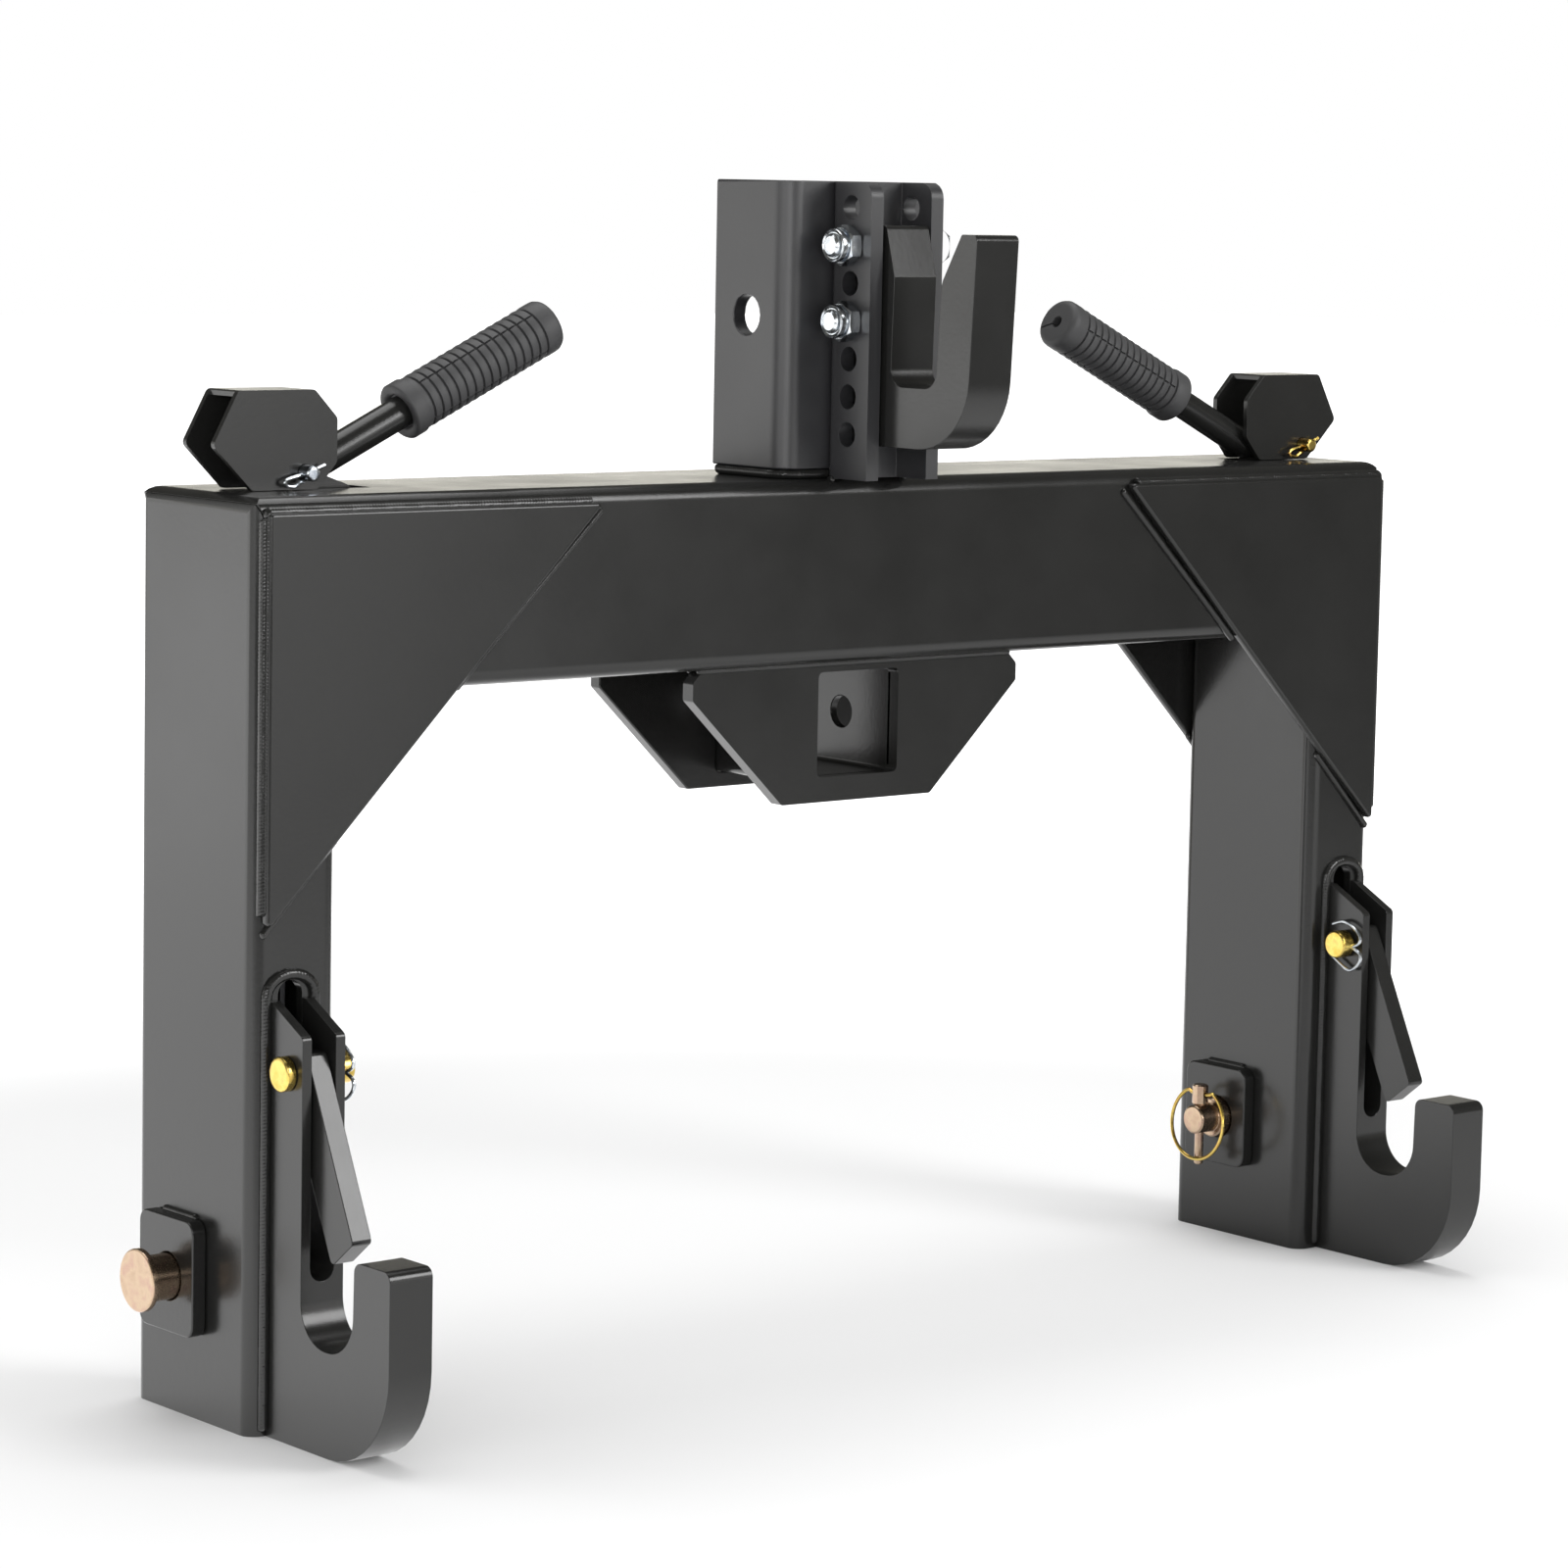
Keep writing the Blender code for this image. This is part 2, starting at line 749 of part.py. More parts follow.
def build_linch_pin(name, side, x, y):
    shoulder = link_pin_height + link_pin_neck_radius + seat_gap
    head_top = shoulder + linch_head_height
    foot = link_pin_height - linch_foot
    profile = [
        (0, head_top),
        (linch_head_radius - pin_chamfer, head_top),
        (linch_head_radius, head_top - pin_chamfer),
        (linch_head_radius, shoulder + pin_chamfer),
        (linch_head_radius - pin_chamfer, shoulder),
        (linch_radius, shoulder),
        (linch_radius, foot + pin_chamfer),
        (linch_radius - pin_chamfer, foot),
        (0, foot),
    ]
    linch = add_part("linch_pin_" + name, turned(profile, Matrix.Translation((x, y, 0)), 16), "bronze_zinc")
    hinge_z = shoulder + linch_head_height / 2
    bore = linch_ring_wire + seat_gap
    drill(linch, "Y", x, hinge_z, bore, y - linch_head_radius, y + linch_head_radius, quarter_steps * 2)
    start = linch_head_radius + linch_ring_wire
    lead = start / linch_ring_radius
    steps = 6 * quarter_steps
    hoop = [Vector((0, -running_gap, 0)), Vector((0, -start, 0))]
    for step in range(steps + 1):
        angle = lead + (2 * pi - 2 * lead) * step / steps
        drop = linch_ring_radius * cos(angle) - linch_ring_drop
        hoop.append(Vector((0, -linch_ring_radius * sin(angle), drop)))
    hoop += [Vector((0, start, 0)), Vector((0, running_gap, 0))]
    lean = Matrix.Rotation(side * linch_ring_lean, 3, "Y")
    place = Vector((x, y, hinge_z))
    points = [place + lean @ spot for spot in hoop]
    add_part("linch_ring_" + name, wire(points, linch_ring_wire, 2), "yellow_zinc", place)


def bracket_outline(side):
    """Six-sided side plate: a point at the outer end, and clipped corners."""
    outer = half_width
    inner = outer - bracket_length
    foot = frame_height + seat_gap
    top = frame_height + bracket_height
    corners = [
        (outer, frame_height + bracket_point),
        (outer - bracket_shoulder, top),
        (inner + bracket_clip_in, top),
        (inner, frame_height + bracket_side_high),
        (inner, frame_height + bracket_side_low),
        (inner + bracket_foot_in, foot),
        (outer - bracket_foot_out, foot),
    ]
    return outline([(side * x, z, bracket_corner) for x, z in corners], 3)


def build_bracket(name, side):
    half = bracket_width / 2
    bracket = add_part(
        "lever_bracket_" + name,
        prism([bracket_outline(side)], "Y", tube_middle - half, tube_middle + half),
        "satin_black_paint",
    )
    below = frame_height - cut_overrun
    above = frame_height + bracket_height + cut_overrun
    ceiling = frame_height + bracket_height - bracket_plate
    inner_end = half_width - bracket_length
    inside = outline(
        [
            (side * (half_width + cut_overrun), below),
            (side * (half_width + cut_overrun), above),
            (side * (half_width - bracket_shoulder), above),
            (side * (half_width - bracket_shoulder), ceiling),
            (side * (inner_end + bracket_bridge_in), ceiling),
            (side * (inner_end + bracket_bridge_in), above),
            (side * (inner_end - cut_overrun), above),
            (side * (inner_end - cut_overrun), below),
        ]
    )
    cut(bracket, prism([inside], "Y", tube_middle - half + bracket_plate, tube_middle + half - bracket_plate))
    pivot = side * (half_width - lever_pivot_inset[name])
    height = frame_height + lever_radius + seat_gap
    bore = lever_pin_radius + seat_gap
    drill(bracket, "Y", pivot, height, bore, tube_middle - half, tube_middle + half)


def build_lever(name, side):
    """Lever bar: a flat run under the bracket, an elbow, and a raised handle; its lug drops into the beam."""
    height = frame_height + lever_radius + seat_gap
    pivot = Vector((side * (half_width - lever_pivot_inset[name]), tube_middle, height))
    elbow = Vector((side * (half_width - lever_elbow_inset), tube_middle, height))
    rise = Vector((-side * cos(lever_slope), 0, sin(lever_slope)))
    path = bent_path([pivot, elbow, elbow + rise * lever_length], lever_elbow_bend, 3)
    lever = add_part("lever_bar_" + name, wire(path, lever_radius, 4), "satin_black_paint", pivot)
    boss = circle(pivot.x, pivot.z, lever_radius - seat_gap)
    boss_half = lever_boss_width / 2
    join(lever, prism([boss], "Y", tube_middle - boss_half, tube_middle + boss_half))
    eye = (pivot.x - side * lever_lug_reach, height - lever_lug_drop)
    half = lever_lug_thickness / 2
    lug = link_outline((pivot.x, height), lever_radius / 2, eye, lever_lug_eye)
    join(lever, prism([lug], "Y", tube_middle - half, tube_middle + half))
    low = tube_middle - lever_radius
    high = tube_middle + lever_radius
    drill(lever, "Y", pivot.x, height, lever_pin_radius + seat_gap, low, high)
    drill(lever, "Y", *eye, lever_lug_bore, tube_middle - half, tube_middle + half)
    build_grip(name, pivot, elbow, rise)
    build_lever_pin(name, side, pivot)
    build_pull_rod(name, side, Vector((eye[0] - side * lever_lug_play, tube_middle, eye[1])))


def build_grip(name, pivot, elbow, rise):
    """Ribbed rubber sleeve with a plain collar and a closed end that has a small hole."""
    bore = lever_radius + seat_gap
    inside_end = lever_length - grip_start + seat_gap
    ribbed = grip_length - grip_collar - grip_cap
    rib_count = int(ribbed / grip_rib_pitch)
    pitch = ribbed / rib_count
    groove = pitch * (1 - grip_rib_land_share)
    profile = [
        (grip_keyhole_radius, grip_length),
        (grip_radius - grip_end_round, grip_length),
        (grip_radius, grip_length - grip_end_round),
    ]
    for rib in range(rib_count):
        groove_middle = grip_length - grip_cap - (rib + 0.5) * pitch
        profile += [
            (grip_radius, groove_middle + groove / 2),
            (grip_radius - grip_groove, groove_middle),
            (grip_radius, groove_middle - groove / 2),
        ]
    profile += [
        (grip_radius, grip_end_round),
        (grip_radius - grip_end_round, 0),
        (bore, 0),
        (bore, inside_end),
        (grip_keyhole_radius, inside_end),
    ]
    turn = Vector((0, 0, 1)).rotation_difference(rise).to_matrix().to_4x4()
    place = Matrix.Translation(elbow + rise * grip_start)
    add_part("grip_" + name, turned(profile, place @ turn, 16), "black_rubber", pivot)


def build_lever_pin(name, side, pivot):
    back = tube_middle + bracket_width / 2 + seat_gap
    front = tube_middle - bracket_width / 2 - lever_pin_end
    length = back - front
    profile = [
        (0, lever_pin_head),
        (lever_pin_head_radius - pin_chamfer, lever_pin_head),
        (lever_pin_head_radius, lever_pin_head - pin_chamfer),
        (lever_pin_head_radius, 0),
        (lever_pin_radius, 0),
        (lever_pin_radius, pin_chamfer - length),
        (lever_pin_radius - pin_chamfer, -length),
        (0, -length),
    ]
    place = Matrix.Translation((pivot.x, back, pivot.z)) @ Matrix.Rotation(-pi / 2, 4, "X")
    finish = "bright_zinc" if name == "left" else "yellow_zinc"
    pin = add_part("lever_pin_" + name, turned(profile, place), finish)
    clip_y = tube_middle - bracket_width / 2 - clip_stand_off
    low = pivot.x - lever_pin_radius
    high = pivot.x + lever_pin_radius
    drill(pin, "X", clip_y, pivot.z, clip_bore, low, high, quarter_steps * 2)
    points = [
        Vector((pivot.x - side * spot.x, clip_y, pivot.z + spot.y)) for spot in clip_path(lever_pin_radius)
    ]
    add_part("lever_clip_" + name, wire(points, clip_wire, 1), finish)


def build_pull_rod(name, side, eye):
    """Bent rod from the lever's lug, down inside the leg, to the latch tail."""
    beside_lug = eye.y + lever_lug_thickness / 2 + rod_side_gap + rod_radius
    hook_end = eye.y - lever_lug_thickness / 2 - rod_hook_over
    tail_half = latch_thickness / 2
    down_x = side * (hook_centre - tail_half - rod_side_gap - rod_radius)
    foot_end = side * (hook_centre + tail_half + rod_hook_over)
    tail_y = forward(latch_pivot_forward) + latch_tail_reach
    tail_z = latch_pivot_height - latch_tail_drop
    path = bent_path(
        [
            (eye.x, hook_end, eye.z),
            (eye.x, beside_lug, eye.z),
            (eye.x, beside_lug, eye.z - rod_jog_top_drop),
            (down_x, tail_y, eye.z - rod_jog_foot_drop),
            (down_x, tail_y, tail_z),
            (foot_end, tail_y, tail_z),
        ],
        rod_bend,
        3,
    )
    rod = add_part("pull_rod_" + name, wire(path, rod_radius, 2), "spring_steel")
    spring_top = guide_height - seat_gap
    spring_foot = spring_top - spring_length
    collar_top = spring_foot - seat_gap
    collar = prism([circle(down_x, tail_y, collar_radius)], "Z", collar_top - collar_height, collar_top)
    join(rod, collar)
    build_guide(name, side, down_x, tail_y)
    build_spring(name, down_x, tail_y, spring_foot, spring_top)


def build_guide(name, side, rod_x, rod_y):
    """Plate welded across the inside of the leg, which guides the rod and holds the spring down."""
    edge = tube_wall + seat_gap
    low, high = span(side, leg_inner + edge, half_width - edge)
    plate = box_outline(low, high, front_face + edge, rear_face - edge, tube_corner - tube_wall)
    bore = circle(rod_x, rod_y, rod_radius + running_gap)
    mesh = prism([plate, bore], "Z", guide_height, guide_height + guide_thickness)
    add_part("rod_guide_" + name, mesh, "satin_black_paint")


def build_spring(name, x, y, foot, top):
    steps = spring_turns * 10
    low = foot + spring_wire
    high = top - spring_wire
    points = []
    for step in range(steps + 1):
        angle = 2 * pi * spring_turns * step / steps
        height = low + (high - low) * step / steps
        points.append(Vector((x + spring_radius * cos(angle), y + spring_radius * sin(angle), height)))
    add_part("rod_spring_" + name, wire(points, spring_wire, 1), "spring_steel")


def channel_outline(width, wall, closed, open_end, corner):
    """A channel section in plan: the web lies at closed, and the flanges run to open_end."""
    half = width / 2
    inward = wall if open_end > closed else -wall
    inner_corner = max(corner - wall, seat_gap)
    return outline(
        [
            (-half, open_end),
            (-half, closed, corner),
            (half, closed, corner),
            (half, open_end),
            (half - wall, open_end),
            (half - wall, closed + inward, inner_corner),
            (wall - half, closed + inward, inner_corner),
            (wall - half, open_end),
        ]
    )


def mast_hole_height(number):
    return frame_height + mast_height - mast_hole_top - number * mast_hole_pitch


def build_mast():
    top = frame_height + mast_height
    edge = forward(front_channel_edge)
    web = edge + front_channel_depth
    section = channel_outline(front_channel_width, front_channel_wall, web, edge, front_channel_corner)
    front = add_part("mast_front_channel", prism([section], "Z", frame_height + seat_gap, top), "satin_black_paint")
    half = front_channel_width / 2
    for number in range(mast_hole_count):
        drill(front, "X", edge + mast_hole_back, mast_hole_height(number), mast_hole_radius, -half, half, 16)
    corner = front_channel_top_corner
    rounding = outline(
        [
            (edge - cut_overrun, top - corner - cut_overrun),
            (edge, top - corner - cut_overrun),
            (edge, top, corner),
            (edge + corner + cut_overrun, top),
            (edge + corner + cut_overrun, top + cut_overrun),
            (edge - cut_overrun, top + cut_overrun),
        ]
    )
    cut(front, prism([rounding], "X", -half - cut_overrun, half + cut_overrun))

    web = web + seat_gap
    section = channel_outline(
        rear_channel_width, rear_channel_wall, web, web + rear_channel_depth, rear_channel_corner
    )
    foot = frame_height + rear_channel_lift
    rear = add_part("mast_rear_channel", prism([section], "Z", foot, top), "satin_black_paint")
    half = rear_channel_width / 2
    drill(rear, "X", web + top_link_back, frame_height + top_link_height, top_link_bore, -half, half)


def build_top_hook():
    """Solid hook between the flanges of the front channel, held by two bolts."""
    base = frame_height
    back = front_channel_edge - front_channel_depth + front_channel_wall + seat_gap
    tip_inner = top_hook_reach - top_hook_tip_thickness
    corners = [
        (back, base + top_hook_foot),
        (top_hook_reach - top_hook_front_lean, base + top_hook_foot, top_hook_bend),
        (top_hook_reach, base + top_hook_tip_height, top_hook_tip_corner),
        (tip_inner, base + top_hook_tip_height, top_hook_tip_corner / 2),
        (top_hook_throat_outer + top_hook_knee_lean, base + top_hook_knee_height, top_hook_floor_corner),
        (top_hook_throat_outer, base + top_hook_floor, top_hook_floor_corner),
        (top_hook_throat_inner, base + top_hook_floor, top_hook_floor_corner),
        (top_hook_throat_inner + top_hook_tip_corner / 2, base + top_hook_shank_height, top_hook_tip_corner),
        (top_hook_top_forward, base + top_hook_top_height, top_hook_tip_corner),
        (back, base + top_hook_top_height),
    ]
    loop = outline([(forward(corner[0]), *corner[1:]) for corner in corners], 2 * quarter_steps)
    half = top_hook_thickness / 2
    hook = add_part("top_hook", prism([loop], "X", -half, half), "satin_black_paint")
    for number in bolt_holes_used:
        y = forward(front_channel_edge) + mast_hole_back
        drill(hook, "X", y, mast_hole_height(number), mast_hole_radius, -half, half, 16)


def hexagon(y, z):
    corner_radius = hex_flats / 2 / cos(pi / 6)
    return circle(y, z, corner_radius, 6, pi / 6)


def build_bolt(name, number):
    """Hexagon bolt from the right, with a washer under its head and a lock nut on the left."""
    y = forward(front_channel_edge) + mast_hole_back
    z = mast_hole_height(number)
    half = front_channel_width / 2
    washer_face = half + seat_gap
    head_face = washer_face + washer_thickness + seat_gap
    nut_face = -half - seat_gap
    nut_end = nut_face - nut_height
    collar_end = nut_end - nut_collar_height
    bolt = add_part("hook_bolt_" + name, prism([hexagon(y, z)], "X", head_face, head_face + bolt_head), "bright_zinc")
    shank = circle(y, z, bolt_radius, 16)
    join(bolt, prism([shank], "X", collar_end - bolt_end, head_face + bolt_head / 2))
    bore = circle(y, z, bolt_radius + seat_gap, 16)
    ring = prism([circle(y, z, washer_radius), bore], "X", washer_face, washer_face + washer_thickness)
    add_part("hook_washer_" + name, ring, "bright_zinc")
    nut = add_part("hook_nut_" + name, prism([hexagon(y, z)], "X", nut_end, nut_face), "bright_zinc")
    join(nut, prism([circle(y, z, nut_collar_radius)], "X", collar_end, nut_end + nut_height / 2))
    drill(nut, "X", y, z, bolt_radius + seat_gap, collar_end, nut_face, 16)


def receiver_plate_outline():
    top = beam_bottom - seat_gap
    foot = beam_bottom - receiver_plate_height
    side_top = top - receiver_top_chamfer
    half = [
        (receiver_top_half - receiver_top_chamfer, top, receiver_corner_round),
        (receiver_top_half, side_top, receiver_corner_round),
        (receiver_top_half, top - receiver_side, receiver_corner_round),
        (receiver_bottom_half, foot, receiver_corner_round),
    ]
    mirrored = [(-x, z, radius) for x, z, radius in reversed(half)]
    return outline(half + mirrored, 2)


def build_receiver():
    size = receiver_size / 2
    middle = beam_bottom - seat_gap - size
    outer = box_outline(-size, size, middle - size, middle + size, receiver_corner)
    bore = size - receiver_wall
    inner = box_outline(-bore, bore, middle - bore, middle + bore, receiver_corner / 2)
    mouth = front_face + receiver_inset
    tube = add_part("receiver_tube", prism([outer, inner], "Y", mouth, mouth + receiver_length), "satin_black_paint")
    drill(tube, "X", mouth + receiver_pin_back, middle, receiver_pin_radius, -size, size)
    opening = size + seat_gap
    window = box_outline(-opening, opening, middle - opening, beam_bottom + cut_overrun, receiver_corner)
    places = {"front": mouth, "rear": mouth + receiver_length - receiver_plate}
    for name, start in places.items():
        plate = add_part(
            "receiver_plate_" + name,
            prism([receiver_plate_outline()], "Y", start, start + receiver_plate),
            "satin_black_paint",
        )
        cut(plate, prism([window], "Y", start - cut_overrun, start + receiver_plate + cut_overrun))


build_beam()
build_mast()
build_top_hook()
build_bolt("upper", bolt_holes_used[0])
build_bolt("lower", bolt_holes_used[1])
build_receiver()
for side_name, side_sign in sides.items():
    build_leg(side_name, side_sign)
    build_gusset("gusset_front_" + side_name, side_sign, front_face, -1)
    build_gusset("gusset_rear_" + side_name, side_sign, rear_face, 1)
    build_lower_hook(side_name, side_sign)
    build_latch(side_name, side_sign)
    build_latch_pin(side_name, side_sign)
    plate_outer = half_width + doubler_thickness
    plate_inner = leg_inner - doubler_thickness
    build_doubler("doubler_outer_" + side_name, side_sign, half_width + seat_gap, plate_outer)
    build_doubler("doubler_inner_" + side_name, side_sign, plate_inner, leg_inner - seat_gap)
    build_link_pin(side_name, side_sign)
    build_bracket(side_name, side_sign)
    build_lever(side_name, side_sign)
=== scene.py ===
import json
from math import cos, pi, radians, sin

import bpy
from mathutils import Matrix, Vector


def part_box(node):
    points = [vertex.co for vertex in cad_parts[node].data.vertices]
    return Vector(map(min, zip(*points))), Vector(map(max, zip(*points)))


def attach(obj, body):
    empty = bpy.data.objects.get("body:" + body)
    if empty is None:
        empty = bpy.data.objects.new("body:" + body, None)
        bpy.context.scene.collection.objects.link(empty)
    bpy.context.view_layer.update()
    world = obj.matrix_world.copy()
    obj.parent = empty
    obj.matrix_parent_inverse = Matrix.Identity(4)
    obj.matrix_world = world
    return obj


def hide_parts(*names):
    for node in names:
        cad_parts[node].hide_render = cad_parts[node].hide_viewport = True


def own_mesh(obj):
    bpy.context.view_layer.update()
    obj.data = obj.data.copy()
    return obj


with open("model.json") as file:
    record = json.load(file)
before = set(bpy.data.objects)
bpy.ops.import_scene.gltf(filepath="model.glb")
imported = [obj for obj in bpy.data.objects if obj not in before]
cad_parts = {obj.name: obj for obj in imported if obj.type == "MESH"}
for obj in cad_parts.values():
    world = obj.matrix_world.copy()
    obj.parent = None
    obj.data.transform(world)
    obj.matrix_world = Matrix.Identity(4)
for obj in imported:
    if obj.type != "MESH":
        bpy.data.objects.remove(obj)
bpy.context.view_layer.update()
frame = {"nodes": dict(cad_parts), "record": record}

sides = {"left": -1, "right": 1}
print("frame loaded:", len(frame["nodes"]), "nodes")


def toLinear(hexColour):
    channels = [int(hexColour[at:at + 2], 16) / 255 for at in (1, 3, 5)]
    return [c / 12.92 if c <= 0.04045 else ((c + 0.055) / 1.055) ** 2.4 for c in channels] + [1.0]


def addNode(tree, kind, settings=None, inputs=None):
    # settings are the node's own properties; inputs hold a value, or the socket that feeds them
    node = tree.nodes.new(kind)
    for name, value in (settings or {}).items():
        setattr(node, name, value)
    for name, value in (inputs or {}).items():
        if isinstance(value, bpy.types.NodeSocket):
            tree.links.new(value, node.inputs[name])
        else:
            node.inputs[name].default_value = value
    return node


# Camera and studio

cameraSettings = {
    "place": (-1.6138, -1.8628, 0.5912),  # metres, in the frame's axes
    "heading": 39.938,  # degrees to the right of +Y
    "pitch": 5.945,  # degrees down
    "roll": 1.112,
    "lens": 111.16,  # mm, on a 36 mm sensor
    "shiftUp": -0.0625,
}


def makeCamera(settings):
    heading, pitch, roll = (radians(settings[key]) for key in ("heading", "pitch", "roll"))
    ahead = Vector((sin(heading) * cos(pitch), cos(heading) * cos(pitch), -sin(pitch)))
    level = Vector((cos(heading), -sin(heading), 0))
    above = level.cross(ahead)
    across = level * cos(roll) + above * sin(roll)
    upward = above * cos(roll) - level * sin(roll)
    turn = Matrix((across, upward, -ahead)).transposed().to_4x4()
    bpy.ops.object.camera_add()
    camera = bpy.context.object
    camera.name = "photoCamera"
    camera.matrix_world = Matrix.Translation(settings["place"]) @ turn
    camera.data.sensor_width = 36
    camera.data.lens = settings["lens"]
    camera.data.shift_y = settings["shiftUp"]
    bpy.context.scene.camera = camera


studio = {
    "floorSize": 30.0,
    "floorColour": "#e4e4e4",
    # what the camera sees on top of the lit floor, near the hitch and far from it: it reads as white paper
    "floorLift": (0.05, 0.95),
    "floorFade": (0.72, 1.42),  # metres from the hitch between which the lift grows
    "floorDim": "#8c8c8c",  # what gloss sees of the floor in front on the right, where the studio is dark
    "dimWay": (0.8, -0.6, 0.0),  # to the front on the right
    "dimSpan": (0.6, 2.0),  # metres that way between which the floor dims
    "floorGloss": 1.0,  # what gloss sees on top of the lit floor, behind the hitch
    "glossWay": (-0.6, 0.8, 0.0),  # to the back on the left
    "glossSpan": (-0.15, 0.35),  # metres that way between which it grows
    "ambient": 0.55,  # how much of the white room reaches matt surfaces
    # how bright gloss sees the room in front, behind to the left and behind to the right
    "mirrored": (0.32, 0.75, 2.0),
    "leftToRight": (-0.4, 0.4),  # between these slopes it turns from left to right
    "frontToBack": (-0.45, 0.25),  # and between these from front to back
    "wallTop": (0.075, 0.17),  # gloss sees the white wall fade to a dim ceiling between these slopes
    "ceiling": 0.10,
    "mirroredTint": "#fffcf0",
    # name: place, aimed at, width, height, watts
    "lamps": {
        "sideSoftbox": ((-1.75, 1.35, 0.55), (-0.375, 0.05, 0.25), 1.3, 1.6, 7),
        "leftSoftbox": ((-2.1, -0.75, 0.78), (-0.2, 0.0, 0.5), 1.2, 0.7, 6.5),
        "cameraSoftbox": ((-1.75, -2.2, 0.68), (0.0, 0.0, 0.5), 1.3, 0.7, 17),
        "keySoftbox": ((0.95, -1.75, 1.30), (-0.35, -0.05, 0.15), 0.8, 1.0, 24),
        "frontSoftbox": ((0.45, -2.1, 0.35), (0.0, 0.0, 0.25), 1.5, 1.3, 8),
        "overheadSoftbox": ((0.1, 0.5, 2.6), (0.0, 0.0, 0.3), 2.4, 1.8, 38),
    },
    # name: place, aimed at, width, height
    "flags": {
        "cameraFlag": ((-1.0, -1.25, 0.0), (-0.2, 0.0, 0.0), 2.2, 0.76),
    },
}


def aimed(place, target):
    return (Vector(target) - Vector(place)).to_track_quat("-Z", "Y").to_euler()


